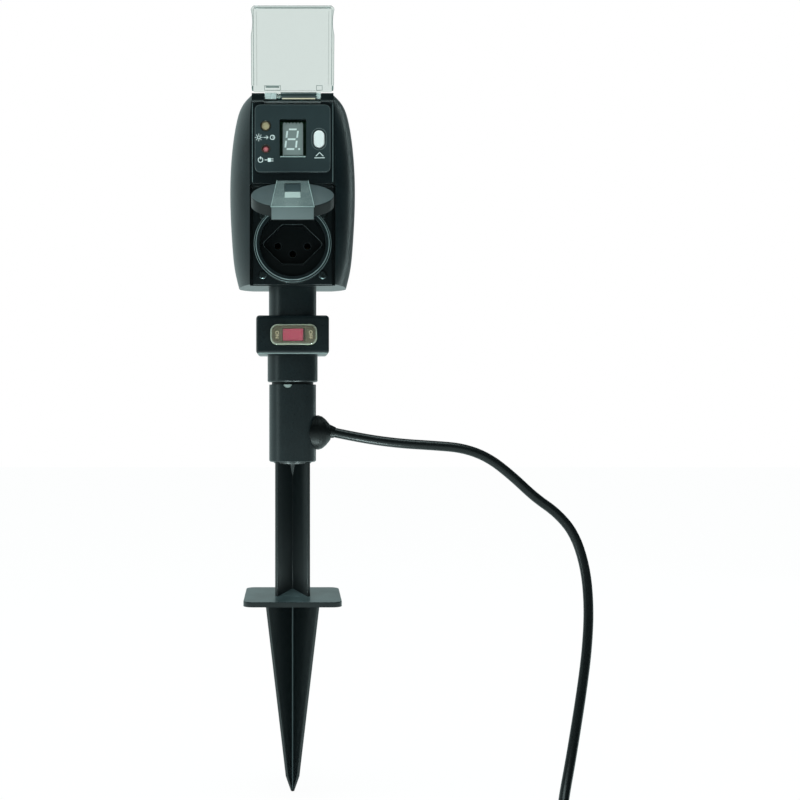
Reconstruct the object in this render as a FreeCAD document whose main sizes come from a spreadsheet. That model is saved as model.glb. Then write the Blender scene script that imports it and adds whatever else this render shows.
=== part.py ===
"""Garden socket on a ground spike, with a timer head, a rain switch and its mains lead.

The origin lies on the spike's axis at the underside of its flange, which is soil level.
Z points up, the front faces minus Y and X points to the viewer's right. All sizes are millimetres.
"""
import FreeCAD, Part
import math
import os

import Sketcher

SIZES = {
    # ground spike: blade, flange and post
    "blade_width": 34.6,
    "blade_low_width": 8.9,
    "blade_low_drop": 114.0,
    "blade_tip_width": 2.2,
    "blade_length": 124.4,
    "arm_thickness": 2.2,
    "tip_arm_thickness": 1.3,
    "flange_width": 62.0,
    "flange_thickness": 3.3,
    "flange_corner": 6.0,
    "post_width": 22.4,
    "foot_width": 23.2,
    "foot_rise": 4.0,
    "post_web_height": 9.0,
    # sleeve and lower joint
    "sleeve_bottom": 89.6,
    "sleeve_length": 50.0,
    "sleeve_radius": 15.2,
    "sleeve_wall": 2.4,
    "spigot_gap": 0.1,
    "plug_clearance": 3.7,
    "tab_radius": 2.9,
    "tab_offset": -3.2,
    "joint_ring_height": 1.6,
    "joint_ring_radius": 13.5,
    "collar_radius": 16.25,
    "collar_length": 17.4,
    "spigot_clearance": 7.9,
    "column_bore": 10.4,
    # cord gland
    "gland_rise": 18.9,
    "gland_radius": 11.2,
    "gland_reach": 27.4,
    "gland_stub_radius": 5.4,
    "gland_nut_radius": 7.2,
    # switch box
    "switch_box_width": 46.3,
    "switch_box_depth": 40.0,
    "switch_box_height": 24.7,
    "switch_box_wall": 2.2,
    "switch_box_round": 2.2,
    "switch_cover_thickness": 3.0,
    "boot_width": 29.4,
    "boot_height": 13.0,
    "switch_across": 0.7,
    "boot_corner": 4.4,
    "boot_rise": 3.2,
    "boot_wall": 1.0,
    "boot_lip": 1.4,
    "boot_clearance": 0.15,
    "bezel_gap": 0.4,
    "switch_body_depth": 16.0,
    "rocker_width": 12.8,
    "rocker_height": 7.6,
    "rocker_tilt": 9.0,
    "rocker_gap": 0.8,
    "rocker_pin_radius": 1.0,
    "pin_clearance": 0.08,
    # neck
    "neck_length": 19.0,
    "neck_radius": 15.4,
    "neck_spigot_radius": 13.4,
    "neck_spigot_rise": 0.7,
    # head housing
    "head_height": 121.7,
    "head_panel_half": 27.0,
    "head_back_half": 26.0,
    "head_seam": 8.0,
    "head_wall": 2.2,
    "seam_gap": 0.3,
    "frame_seat": 19.0,
    "socket_seat": 15.4,
    "cavity_front": 13.4,
    "boss_radius": 3.6,
    "shell_screw_across": 22.2,
    "shell_screw_low": 9.4,
    "shell_screw_high": 100.0,
    "shell_screw_radius": 1.5,
    # control frame and label plate
    "control_width": 51.2,
    "control_bottom": 265.5,
    "control_top": 321.9,
    "control_front": 26.3,
    "plate_width": 47.4,
    "plate_bottom": 272.2,
    "plate_top": 314.6,
    "plate_thickness": 2.0,
    "plate_corner": 3.4,
    "window_width": 16.7,
    "window_height": 24.1,
    "window_across": 0.2,
    "window_up": 293.5,
    "photocell_across": -16.9,
    "photocell_up": 301.3,
    "photocell_radius": 2.95,
    "led_across": -16.8,
    "led_up": 286.8,
    "led_radius": 2.15,
    "button_across": 16.6,
    "button_up": 293.0,
    "button_width": 6.6,
    "button_height": 10.8,
    "button_proud": 0.6,
    "button_travel": 1.0,
    "board_front": 17.3,
    "board_thickness": 1.6,
    "display_width": 12.6,
    "display_height": 19.0,
    "display_depth": 8.0,
    # clear flap
    "flap_width": 51.6,
    "flap_length": 54.0,
    "flap_thickness": 1.6,
    "flap_offset": 2.0,
    "flap_root": 2.4,
    "flap_wall_depth": 2.8,
    "flap_axis_front": 27.4,
    "flap_axis_up": 320.1,
    "flap_rod_radius": 2.3,
    "flap_lean": 14.0,
    "ear_front": 29.1,
    "ear_height": 5.6,
    "ear_left_inner": 17.8,
    "ear_right_inner": 18.0,
    # socket
    "socket_up": 227.8,
    "socket_flange": 50.0,
    "socket_flange_thickness": 3.0,
    "gasket_thickness": 1.0,
    "collar_rim": 28.4,
    "ring_radius": 23.3,
    "ring_bore": 20.8,
    "cup_radius": 22.3,
    "cup_depth": 6.0,
    "screw_square": 38.0,
    "plate_screw_radius": 1.45,
    "plate_screw_head": 2.65,
    "insert_front": 22.4,
    "recess_width": 39.2,
    "recess_height": 25.2,
    "recess_flat": 13.4,
    "recess_depth": 9.9,
    "pin_spacing": 19.0,
    "earth_drop": 5.0,
    "pin_hole_radius": 2.1,
    "pin_hole_length": 8.5,
    # socket lid
    "lid_axis_front": 24.0,
    "lid_axis_up": 261.3,
    "lid_radius": 25.0,
    "lid_open": 63.0,
    "lid_face": 7.8,
    "lid_thickness": 2.0,
    "lid_wall": 1.4,
    "lid_rim": 1.2,
    "lid_band_top": 6.4,
    "lid_band_rise": 0.7,
    "lid_band_narrow": 9.75,
    "lid_band_wide": 12.65,
    "lid_seal_thickness": 1.1,
    "lid_heel": 4.5,
    "knuckle_radius": 3.0,
    "lid_pin_radius": 1.0,
    # mains lead and plug
    "cord_diameter": 6.3,
    "coil_outer_radius": 42.0,
    "coil_step": 7.0,
    "coil_layer": 6.75,
    "coil_lift": 0.65,
    "coil_tail": 7.0,
    "plug_width": 36.0,
    "plug_height": 21.0,
    "plug_length": 30.0,
    "plug_boot_length": 20.0,
    "plug_boot_slim": 6.0,
    "plug_pin_radius": 2.0,
    "plug_pin_length": 19.0,
    "wire_radius": 1.1,
}

DIAGONAL = math.sqrt(0.5)
COIL_TURNS = 4.944
COIL_CENTRE = (198.0, -108.0)
# the lead leaves the gland through these points, their heights taken from the gland's centre
CORD_LEAVING = [
    (27.4, 0.0, -0.1),
    (46.5, 0.0, -4.1),
    (70.0, 0.0, -7.2),
    (92.0, 0.0, -8.5),
    (111.0, 0.0, -10.1),
    (127.5, 0.0, -16.3),
]
CORD_FALLING = [
    (143.0, 0.0, 80.0),
    (157.5, 0.0, 66.2),
    (171.5, 0.0, 56.6),
    (183.0, -1.0, 43.0),
    (189.5, -4.0, 21.0),
    (190.5, -9.0, -4.0),
    (187.5, -16.0, -29.0),
    (182.0, -25.0, -53.0),
    (175.5, -36.0, -75.0),
    (169.0, -48.0, -94.0),
    (162.5, -61.0, -109.0),
    (157.8, -76.0, -117.6),
    (156.0, -92.0, -120.6),
    (156.0, -108.0, -120.6),
]

os.makedirs("parts", exist_ok=True)
doc = FreeCAD.newDocument("garden_socket")
vec = FreeCAD.Vector
nodes = {}


class Dim:
    """A length with its value now and the sheet formula that gives it."""

    def __init__(self, text, value):
        self.text = text
        self.value = value

    def __add__(self, other):
        other = dim(other)
        return Dim(f"({self.text} + {other.text})", self.value + other.value)

    def __radd__(self, other):
        return dim(other) + self

    def __sub__(self, other):
        other = dim(other)
        return Dim(f"({self.text} - {other.text})", self.value - other.value)

    def __rsub__(self, other):
        return dim(other) - self

    def __mul__(self, other):
        other = dim(other)
        return Dim(f"({self.text} * {other.text})", self.value * other.value)

    def __rmul__(self, other):
        return dim(other) * self

    def __truediv__(self, other):
        other = dim(other)
        return Dim(f"({self.text} / {other.text})", self.value / other.value)

    def __neg__(self):
        return Dim(f"(0 - {self.text})", -self.value)


def dim(size):
    """A plain number becomes a length whose formula is that number."""
    if isinstance(size, Dim):
        return size
    text = f"{size:.6f}".rstrip("0").rstrip(".")
    return Dim(text if size >= 0 else f"({text})", float(size))


class Sizes:
    """The driving dimensions, each bound to its cell of the sheet."""

    def __init__(self, table):
        sheet = doc.addObject("Spreadsheet::Sheet", "Sizes")
        for row, (alias, size) in enumerate(table.items(), start=1):
            sheet.set(f"A{row}", alias)
            sheet.set(f"B{row}", str(size))
            sheet.setAlias(f"B{row}", alias)
            setattr(self, alias, Dim(f"Sizes.{alias}", size))
        doc.recompute()


s = Sizes(SIZES)


def bind(item, prop, size):
    """Set a property and bind it to its formula."""
    size = dim(size)
    item.setExpression(prop, size.text)


def put(item, x=0, y=0, z=0, turn=None):
    """Place an object, its position bound to the sheet."""
    turn = turn or FreeCAD.Rotation()
    item.Placement = FreeCAD.Placement(vec(dim(x).value, dim(y).value, dim(z).value), turn)
    for axis, size in zip("xyz", (x, y, z)):
        bind(item, f"Placement.Base.{axis}", size)
    return item


def block(name, x, y, z):
    """A box between two limits on each axis."""
    item = doc.addObject("Part::Box", name)
    for prop, (low, high) in zip(("Length", "Width", "Height"), (x, y, z)):
        bind(item, prop, dim(high) - low)
    return put(item, x[0], y[0], z[0])


TURNS = {
    "x": FreeCAD.Rotation(vec(0, 1, 0), 90),
    "y": FreeCAD.Rotation(vec(1, 0, 0), -90),
    "z": FreeCAD.Rotation(),
}


def rod(name, axis, span, across, radius):
    """A round bar along an axis, between two limits; across is its place on the other two."""
    item = doc.addObject("Part::Cylinder", name)
    bind(item, "Radius", radius)
    bind(item, "Height", dim(span[1]) - span[0])
    first, second = across
    place = {"x": (span[0], first, second), "y": (first, span[0], second), "z": (first, second, span[0])}
    return put(item, *place[axis], turn=TURNS[axis])


def fuse(name, *pieces):
    """Pieces joined into one solid."""
    item = doc.addObject("Part::MultiFuse", name)
    item.Shapes = list(pieces)
    return item


def cut(name, base, *tools):
    """A base with tools taken out of it."""
    item = doc.addObject("Part::Cut", name)
    item.Base = base
    item.Tool = tools[0] if len(tools) == 1 else fuse(f"{name}_tools", *tools)
    return item


def common(name, first, second):
    """What two solids share."""
    item = doc.addObject("Part::Common", name)
    item.Base = first
    item.Tool = second
    return item


def group(name, *pieces):
    """Separate like solids kept as one node."""
    item = doc.addObject("Part::Compound", name)
    item.Links = list(pieces)
    return item


def rounded(name, base, radius, chosen):
    """A base with the chosen edges rounded."""
    doc.recompute()
    item = doc.addObject("Part::Fillet", name)
    item.Base = base
    size = dim(radius).value
    item.Edges = [(n, size, size) for n, edge in enumerate(base.Shape.Edges, start=1) if chosen(edge)]
    return item


def bevelled(name, base, size, chosen):
    """A base with the chosen edges cut off at 45 degrees."""
    doc.recompute()
    item = doc.addObject("Part::Chamfer", name)
    item.Base = base
    item.Edges = [(n, size, size) for n, edge in enumerate(base.Shape.Edges, start=1) if chosen(edge)]
    return item


def along(edge, axis):
    """Whether an edge is straight and runs along an axis."""
    if not isinstance(edge.Curve, Part.Line):
        return False
    ends = [vertex.Point for vertex in edge.Vertexes]
    way = (ends[-1] - ends[0]).normalize()
    return abs(abs(way.dot(axis)) - 1) < 1e-6


def at(edge, **place):
    """Whether the whole edge lies at the given coordinates."""
    box = edge.BoundBox
    limits = {"x": (box.XMin, box.XMax), "y": (box.YMin, box.YMax), "z": (box.ZMin, box.ZMax)}
    return all(abs(end - dim(size).value) < 0.01 for axis, size in place.items() for end in limits[axis])


def keep(name, item):
    """Name a finished piece as a node of the object."""
    item.Label = name
    nodes[name] = item
    return item


def new_body(name):
    """A body to be shaped by sketched features."""
    return doc.addObject("PartDesign::Body", name)


def sketch(body, name, plane, offset=0):
    """A sketch on one of the body's own planes, moved along its normal."""
    item = body.newObject("Sketcher::SketchObject", name)
    support = next(f for f in body.Origin.OriginFeatures if f.Role == f"{plane}_Plane")
    item.AttachmentSupport = [(support, "")]
    item.MapMode = "FlatFace"
    offset = dim(offset)
    item.AttachmentOffset = FreeCAD.Placement(vec(0, 0, offset.value), FreeCAD.Rotation())
    bind(item, "AttachmentOffset.Base.z", offset)
    return item


def fix(item, geometry, point, place):
    """Pin a sketch point at a place given by formulas."""
    for kind, size in zip(("DistanceX", "DistanceY"), place):
        size = dim(size)
        number = item.addConstraint(Sketcher.Constraint(kind, geometry, point, size.value))
        bind(item, f"Constraints[{number}]", size)


def polygon(item, points):
    """A closed outline of straight lines through the points."""
    corners = [vec(dim(x).value, dim(y).value, 0) for x, y in points]
    first = item.GeometryCount
    for start, end in zip(corners, corners[1:] + corners[:1]):
        item.addGeometry(Part.LineSegment(start, end))
    count = len(points)
    for n in range(count):
        item.addConstraint(Sketcher.Constraint("Coincident", first + n, 2, first + (n + 1) % count, 1))
    for n, place in enumerate(points):
        fix(item, first + n, 1, place)
    return item


def circle(item, place, radius):
    """A circle in a sketch."""
    x, y = (dim(size) for size in place)
    radius = dim(radius)
    number = item.addGeometry(Part.Circle(vec(x.value, y.value, 0), vec(0, 0, 1), radius.value))
    fix(item, number, 3, place)
    number = item.addConstraint(Sketcher.Constraint("Radius", number, radius.value))
    bind(item, f"Constraints[{number}]", radius)
    return item


def oblong(item, place, width, height, radius):
    """A rectangle with round corners in a sketch, its arcs tangent to its sides."""
    x, y = (dim(size) for size in place)
    half, tall, round_ = dim(width) / 2, dim(height) / 2, dim(radius)
    first = item.GeometryCount
    signs = [(1, -1), (1, 1), (-1, 1), (-1, -1)]
    for n, (sx, sy) in enumerate(signs):
        centre = vec((x + (half - round_) * sx).value, (y + (tall - round_) * sy).value, 0)
        start = math.radians(-90 + 90 * n)
        arc = Part.ArcOfCircle(Part.Circle(centre, vec(0, 0, 1), round_.value), start, start + math.pi / 2)
        item.addGeometry(arc)
        fix(item, first + n, 3, (x + (half - round_) * sx, y + (tall - round_) * sy))
    for n in range(4):
        arc, after = item.Geometry[first + n], item.Geometry[first + (n + 1) % 4]
        item.addGeometry(Part.LineSegment(arc.EndPoint, after.StartPoint))
        item.addConstraint(Sketcher.Constraint("Tangent", first + n, 2, first + 4 + n, 1))
        item.addConstraint(Sketcher.Constraint("Tangent", first + 4 + n, 2, first + (n + 1) % 4, 1))
    for n in range(4):
        number = item.addConstraint(Sketcher.Constraint("Radius", first + n, round_.value))
        bind(item, f"Constraints[{number}]", round_)
        if n == 2:
            break
    return item


def feature(body, kind, name, profile, length=None, **settings):
    """A sketched feature whose length is bound to the sheet."""
    item = body.newObject(f"PartDesign::{kind}", name)
    item.Profile = profile
    if length is not None:
        bind(item, "Length", length)
    for prop, setting in settings.items():
        setattr(item, prop, setting)
    return item


def loft(body, kind, name, sections, ruled):
    """A loft through sketches."""
    item = body.newObject(f"PartDesign::{kind}", name)
    item.Profile = sections[0]
    item.Sections = [(section, [""]) for section in sections[1:]]
    item.Ruled = ruled
    return item


def dress(body, kind, name, base, prop, size, chosen):
    """A fillet or chamfer on the chosen edges of a body's feature."""
    doc.recompute()
    item = body.newObject(f"PartDesign::{kind}", name)
    edges = [f"Edge{n}" for n, edge in enumerate(base.Shape.Edges, start=1) if chosen(edge)]
    item.Base = (base, edges)
    bind(item, prop, size)
    return item


def gland_height():
    """Height of the cord gland's centre."""
    return s.sleeve_bottom + s.gland_rise


def make_ground_spike():
    """Blade, flange and post of one moulding, all with a cross of four arms at 45 degrees."""
    body = new_body("ground_spike")

    def cross(name, width, thickness, height):
        """Outline of the four arms: half of the front width, and the arm's width on the slant."""
        e, q = dim(width) / 2, dim(thickness) * DIAGONAL
        r = e - q
        quarter = [(q, 0), (e, r), (r, e)]
        points = []
        for n in range(4):
            points += quarter
            quarter = [(-dim(y), x) for x, y in quarter]
        return polygon(sketch(body, name, "XY", height), points)

    sections = [
        cross("blade_root", s.blade_width, s.arm_thickness, 0),
        cross("blade_low", s.blade_low_width, s.arm_thickness, -s.blade_low_drop),
        cross("blade_tip", s.blade_tip_width, s.tip_arm_thickness, -s.blade_length),
    ]
    loft(body, "AdditiveLoft", "blade", sections, True)
    outline = oblong(
        sketch(body, "flange_outline", "XY"), (0, 0), s.flange_width, s.flange_width, s.flange_corner
    )
    flange = feature(body, "Pad", "flange", outline, s.flange_thickness)
    top = s.flange_thickness
    dress(body, "Fillet", "flange_round", flange, "Radius", 0.5, lambda e: at(e, z=top) and e.Length > 5)
    arms = cross("post_cross", s.post_width, s.arm_thickness, s.flange_thickness)
    feature(body, "Pad", "post", arms, s.sleeve_bottom - s.flange_thickness)
    half = s.foot_width / 2
    squares = []
    for n, (size, rise) in enumerate([(half, 0), (s.arm_thickness, s.foot_rise)]):
        points = [(size, -size), (size, size), (-size, size), (-size, -size)]
        squares.append(polygon(sketch(body, f"foot_{n}", "XY", s.flange_thickness + rise), points))
    loft(body, "AdditiveLoft", "foot", squares, True)
    plug = s.sleeve_radius - s.sleeve_wall - s.spigot_gap
    low = s.sleeve_bottom - s.post_web_height
    high = gland_height() - s.gland_nut_radius - s.plug_clearance
    profile = [
        (0, low),
        (s.arm_thickness * 0.75, low),
        (s.arm_thickness * 1.5, s.sleeve_bottom - s.post_web_height * 0.2),
        (plug - 0.8, s.sleeve_bottom - 1.0),
        (plug, s.sleeve_bottom),
        (plug, high),
        (0, high),
    ]
    outline = polygon(sketch(body, "plug_outline", "XZ"), profile)
    turn = feature(body, "Revolution", "plug", outline, Angle=360)
    turn.ReferenceAxis = (outline, ["V_Axis"])
    keep("ground_spike", body)


def make_lower_joint():
    """Sleeve on the spike, its lock tab, the seal ring and the collar that plugs into the sleeve."""
    low, high = s.sleeve_bottom, s.sleeve_bottom + s.sleeve_length
    bore = s.sleeve_radius - s.sleeve_wall
    wall = rod("sleeve_wall_form", "z", (low, high), (0, 0), s.sleeve_radius)
    wall = bevelled("sleeve_round", wall, 0.7, lambda e: at(e, z=low))
    tube = cut(
        "sleeve",
        wall,
        rod("sleeve_bore_form", "z", (low - 1, high + 1), (0, 0), bore),
        rod("gland_hole", "x", (0, s.sleeve_radius + 2), (0, gland_height()), s.gland_stub_radius + 0.1),
        rod("tab_notch", "y", (-s.sleeve_radius - 2, 0), (s.tab_offset, high + 0.5), s.tab_radius),
    )
    keep("sleeve", tube)
    outer = rod("tab_outer", "z", (low, high - 0.1), (0, 0), s.sleeve_radius - 0.4)
    inner = rod("tab_inner", "z", (low - 1, high + 1), (0, 0), bore + 0.1)
    ring = cut("tab_ring", outer, inner)
    disc = rod("tab_disc", "y", (-s.sleeve_radius - 1, 0), (s.tab_offset, high + 0.5), s.tab_radius - 0.1)
    keep("lock_tab", common("lock_tab", ring, disc))
    ring_top = high + s.joint_ring_height
    ring = rod("joint_ring_form", "z", (high, ring_top), (0, 0), s.joint_ring_radius)
    hole = rod("joint_ring_hole", "z", (high - 1, ring_top + 1), (0, 0), bore)
    keep("joint_ring", cut("joint_ring", ring, hole))
    top = ring_top + s.collar_length
    tube = rod("collar_form", "z", (ring_top, top), (0, 0), s.collar_radius)
    tube = bevelled("collar_round", tube, 0.6, lambda e: at(e, z=ring_top))
    foot = gland_height() + s.gland_nut_radius + s.spigot_clearance
    spigot = rod("collar_spigot", "z", (foot, ring_top), (0, 0), bore - s.spigot_gap)
    hole = rod("collar_bore", "z", (foot - 1, top + 1), (0, 0), s.column_bore)
    keep("lower_collar", cut("lower_collar", fuse("collar_solid", tube, spigot), hole))
    return top


def make_gland():
    """Domed cord gland screwed through the sleeve's side, with a nut inside."""
    start, after = (vec(*point) for point in cord_route()[:2])
    way = (after - start).normalize()
    up, r = gland_height(), s.gland_radius
    body = new_body("gland_dome")
    wall = s.sleeve_radius
    profile = [
        (wall - 4.4, 0),
        (wall - 4.4, r - 0.4),
        (wall + 1.6, r),
        (wall + 4.0, r - 0.8),
        (wall + 6.4, r - 2.8),
        (wall + 8.6, r - 5.4),
        (wall + 9.4, r - 6.6),
        (wall + 9.4, 0),
    ]
    outline = polygon(sketch(body, "dome_outline", "XZ"), profile)
    turn = feature(body, "Revolution", "dome", outline, Angle=360)
    turn.ReferenceAxis = (outline, ["H_Axis"])
    put(body, 0, 0, up)
    stub = rod("gland_stub", "x", (s.gland_nut_radius - 1.2, wall), (0, up), s.gland_stub_radius)
    nose = doc.addObject("Part::Feature", "gland_nose")
    radius = s.cord_diameter.value / 2
    length = 9.0
    nose.Shape = Part.makeCone(radius + 2.6, radius + 0.4, length, start - way * length, way)
    dome = cut("gland_shell", body, rod("gland_seat", "z", (0, 200), (0, 0), wall + 0.02))
    keep("cord_gland", fuse("cord_gland", dome, stub, nose))
    reach = (s.gland_nut_radius - 0.2, s.gland_nut_radius + 2.6)
    nut = rod("gland_nut_form", "x", reach, (0, up), s.gland_nut_radius)
    hole = rod("gland_nut_hole", "x", (0, wall), (0, up), s.gland_stub_radius + 0.05)
    keep("gland_nut", cut("gland_nut", nut, hole))


def make_switch_box(low):
    """Box on the column with its rear cover, the rain boot and the lit rocker switch."""
    high = low + s.switch_box_height
    mid = low + s.switch_box_height / 2
    half, front = s.switch_box_width / 2, s.switch_box_depth / 2
    wall = s.switch_box_wall
    joint = front - s.switch_cover_thickness
    form = block("switch_box_form", (-half, half), (-front, front), (low, high))
    form = rounded("switch_box_round", form, s.switch_box_round, lambda e: True)
    front_part = block("switch_box_half", (-half - 1, half + 1), (-front - 1, joint), (low - 1, high + 1))
    hollow = block(
        "switch_box_hollow", (wall - half, half - wall), (wall - front, joint + 1), (low + wall, high - wall)
    )
    body = new_body("boot_hole")
    slot = oblong(
        sketch(body, "boot_hole_outline", "XZ", front - wall - 1),
        (s.switch_across, mid),
        s.boot_width + s.boot_clearance * 2,
        s.boot_height + s.boot_clearance * 2,
        s.boot_corner,
    )
    feature(body, "Pad", "boot_hole_pad", slot, wall + 3)
    shell = cut(
        "switch_box_shell",
        common("switch_box_front", form, front_part),
        hollow,
        body,
        rod("switch_box_way", "z", (low - 1, high + 1), (0, 0), s.column_bore),
    )
    posts = []
    screws = []
    across, level = half - wall - 2.2, s.switch_box_height / 2 - wall - 2.2
    for n, (sx, sz) in enumerate([(1, 1), (-1, 1), (-1, -1), (1, -1)]):
        place = (across * sx, mid + level * sz)
        post = rod(f"switch_post_{n}", "y", (joint - 12, joint), place, 2.3)
        posts.append(
            cut(f"switch_post_bored_{n}", post, rod(f"switch_pilot_{n}", "y", (joint - 9, front), place, 1.3))
        )
        shank = rod(f"switch_shank_{n}", "y", (joint - 8, front - 1), place, 1.25)
        screws.append(
            fuse(
                f"switch_screw_{n}",
                shank,
                rod(f"switch_head_{n}", "y", (front - 1.2, front - 0.1), place, 2.2),
            ),
        )
    keep("switch_box", fuse("switch_box", shell, *posts))
    rear = block("switch_box_rear", (-half - 1, half + 1), (joint, front + 1), (low - 1, high + 1))
    holes = []
    for n, (sx, sz) in enumerate([(1, 1), (-1, 1), (-1, -1), (1, -1)]):
        place = (across * sx, mid + level * sz)
        holes.append(rod(f"cover_hole_{n}", "y", (joint - 1, front + 1), place, 1.3))
        holes.append(rod(f"cover_sink_{n}", "y", (front - 1.2, front + 1), place, 2.3))
    keep("switch_box_cover", cut("switch_box_cover", common("switch_cover_form", form, rear), *holes))
    keep("switch_box_screws", group("switch_box_screws", *screws))
    make_switch(mid, front, wall)
    return high


def make_switch(mid, front, wall):
    """Clear boot, switch body with its bezel, the rocker on its pivot and the blades behind."""
    body = new_body("switch_boot")
    inside = front - wall
    lip = s.boot_lip
    x0 = s.switch_across
    skirt = oblong(
        sketch(body, "boot_lip_outline", "XZ", inside - lip),
        (s.switch_across, mid),
        s.boot_width + lip * 2,
        s.boot_height + lip * 2,
        s.boot_corner + lip,
    )
    feature(body, "Pad", "boot_lip", skirt, lip - 0.05)
    outline = oblong(
        sketch(body, "boot_outline", "XZ", inside - lip),
        (x0, mid),
        s.boot_width,
        s.boot_height,
        s.boot_corner,
    )
    cap = feature(body, "Pad", "boot_cap", outline, wall + lip + s.boot_rise)
    tip = -(front + s.boot_rise)
    cap = dress(body, "Fillet", "boot_round", cap, "Radius", 1.8, lambda e: at(e, y=tip))
    thick = s.boot_wall
    inner = oblong(
        sketch(body, "boot_inner_outline", "XZ", inside - lip),
        (x0, mid),
        s.boot_width - thick * 2,
        s.boot_height - thick * 2,
        s.boot_corner - thick,
    )
    feature(body, "Pocket", "boot_inner", inner, wall + lip + s.boot_rise - thick, Reversed=True)
    keep("switch_boot", body)
    bezel_front = front - 0.4
    back = inside - lip
    deep = back - s.switch_body_depth + wall + lip
    w, h = (size / 2 - s.boot_wall - s.bezel_gap for size in (s.boot_width, s.boot_height))
    bezel = block("bezel", (x0 - w, x0 + w), (-bezel_front, -back), (mid - h, mid + h))
    bezel = rounded("bezel_round", bezel, s.boot_corner - s.boot_wall - 0.4, lambda e: along(e, vec(0, 1, 0)))
    casing = block("switch_casing", (x0 + 2 - w, x0 + w - 2), (-back, -deep), (mid - h, mid + h))
    rw, rh = s.rocker_width / 2, s.rocker_height / 2
    gap = s.rocker_gap
    well = block(
        "rocker_well",
        (x0 - rw - gap, x0 + rw + gap),
        (-bezel_front - 1, 8 - bezel_front),
        (mid - rh - 0.3, mid + rh + 0.3),
    )
    axis = -(bezel_front - 3.2)
    bores = rod(
        "rocker_bores",
        "z",
        (mid - rh - 1.1, mid + rh + 1.1),
        (x0, axis),
        s.rocker_pin_radius + s.pin_clearance,
    )
    keep("switch_body", cut("switch_body", fuse("switch_solid", bezel, casing), well, bores))
    blades = [
        block(f"blade_{n}", (x0 + x - 2.4, x0 + x + 2.4), (-deep, 4.0 - deep + 2.0), (mid - 0.4, mid + 0.4))
        for n, x in enumerate((-8, 0, 8))
    ]
    keep("switch_blades", group("switch_blades", *blades))
    rocker = new_body("rocker")
    face = 0.3 + 3.2
    profile = [
        (-rw, -face),
        (-rw / 2, 0.45 - face),
        (0, 0.6 - face),
        (rw / 2, 0.45 - face),
        (rw, -face),
        (rw, -0.6),
        (rw * 0.45, 3.0),
        (-rw * 0.45, 3.0),
        (-rw, -0.6),
    ]
    outline = polygon(sketch(rocker, "rocker_outline", "XY", -rh), profile)
    feature(rocker, "Pad", "rocker_key", outline, s.rocker_height)
    pins = circle(sketch(rocker, "rocker_pins_outline", "XY", -rh - 0.9), (0, 0), s.rocker_pin_radius)
    feature(rocker, "Pad", "rocker_pins", pins, s.rocker_height + 1.8)
    put(rocker, x0, axis, mid, turn=FreeCAD.Rotation(vec(0, 0, -1), SIZES["rocker_tilt"]))
    bind(rocker, "Placement.Rotation.Angle", s.rocker_tilt)
    keep("rocker", rocker)


def make_neck(low):
    """Neck tube from the switch box into the head."""
    high = low + s.neck_length
    top = high + s.head_wall + s.neck_spigot_rise
    tube = rod("neck_form", "z", (low, high), (0, 0), s.neck_radius)
    spigot = rod("neck_spigot", "z", (high, top), (0, 0), s.neck_spigot_radius)
    bore = rod("neck_bore", "z", (low - 1, top + 1), (0, 0), s.column_bore)
    keep("neck_tube", cut("neck_tube", fuse("neck_solid", tube, spigot), bore))
    return high


# each level of the head: height above its base, half width, front depth, back depth, flat half of the front
HEAD_LEVELS = [
    (0.0, 35.0, 23.8, 23.6, 27.0),
    (9.0, 37.2, 24.6, 25.0, 27.0),
    (27.0, 39.4, 25.0, 26.4, 27.0),
    (62.0, 40.9, 25.0, 27.0, 27.0),
    (94.0, 39.1, 25.0, 25.6, 27.0),
    (109.0, 36.6, 24.2, 23.2, 26.6),
    (117.0, 33.9, 22.0, 20.0, 25.8),
    (121.7, 29.6, 18.0, 15.8, 24.8),
]


def head_section(body, name, height, widest, front, back, panel, rear):
    """One level of the head: flat front and back joined by flanks that are widest at the seam."""
    item = sketch(body, name, "XY", height)
    seam = s.head_seam
    corners = [(panel, -front), (widest, seam), (rear, back)]
    right = [(dim(x), dim(y)) for x, y in corners]
    left = [(-x, y) for x, y in reversed(right)]
    ring = right + left
    flanks = {}
    for n, (start, end) in enumerate(zip(ring, ring[1:] + ring[:1])):
        a, b = (vec(x.value, y.value, 0) for x, y in (start, end))
        if n in (2, 5):
            item.addGeometry(Part.LineSegment(a, b))
            continue
        wide, narrow = (end, start) if n in (0, 3) else (start, end)
        dx = wide[0] - narrow[0] if n < 3 else narrow[0] - wide[0]
        dy = wide[1] - narrow[1]
        radius = (dx * dx + dy * dy) / (dx * 2)
        side = 1 if n < 3 else -1
        centre = vec(wide[0].value - radius.value * side, wide[1].value, 0)
        first, last = (math.atan2(p.y - centre.y, p.x - centre.x) for p in (a, b))
        last = last + 2 * math.pi if last < first else last
        item.addGeometry(Part.ArcOfCircle(Part.Circle(centre, vec(0, 0, 1), radius.value), first, last))
        flanks[n] = radius
    for n in range(6):
        item.addConstraint(Sketcher.Constraint("Coincident", n, 2, (n + 1) % 6, 1))
    for n, place in enumerate(ring):
        fix(item, n, 1, place)
    for n, radius in flanks.items():
        number = item.addConstraint(Sketcher.Constraint("Radius", n, radius.value))
        bind(item, f"Constraints[{number}]", radius)
    return item


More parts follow.
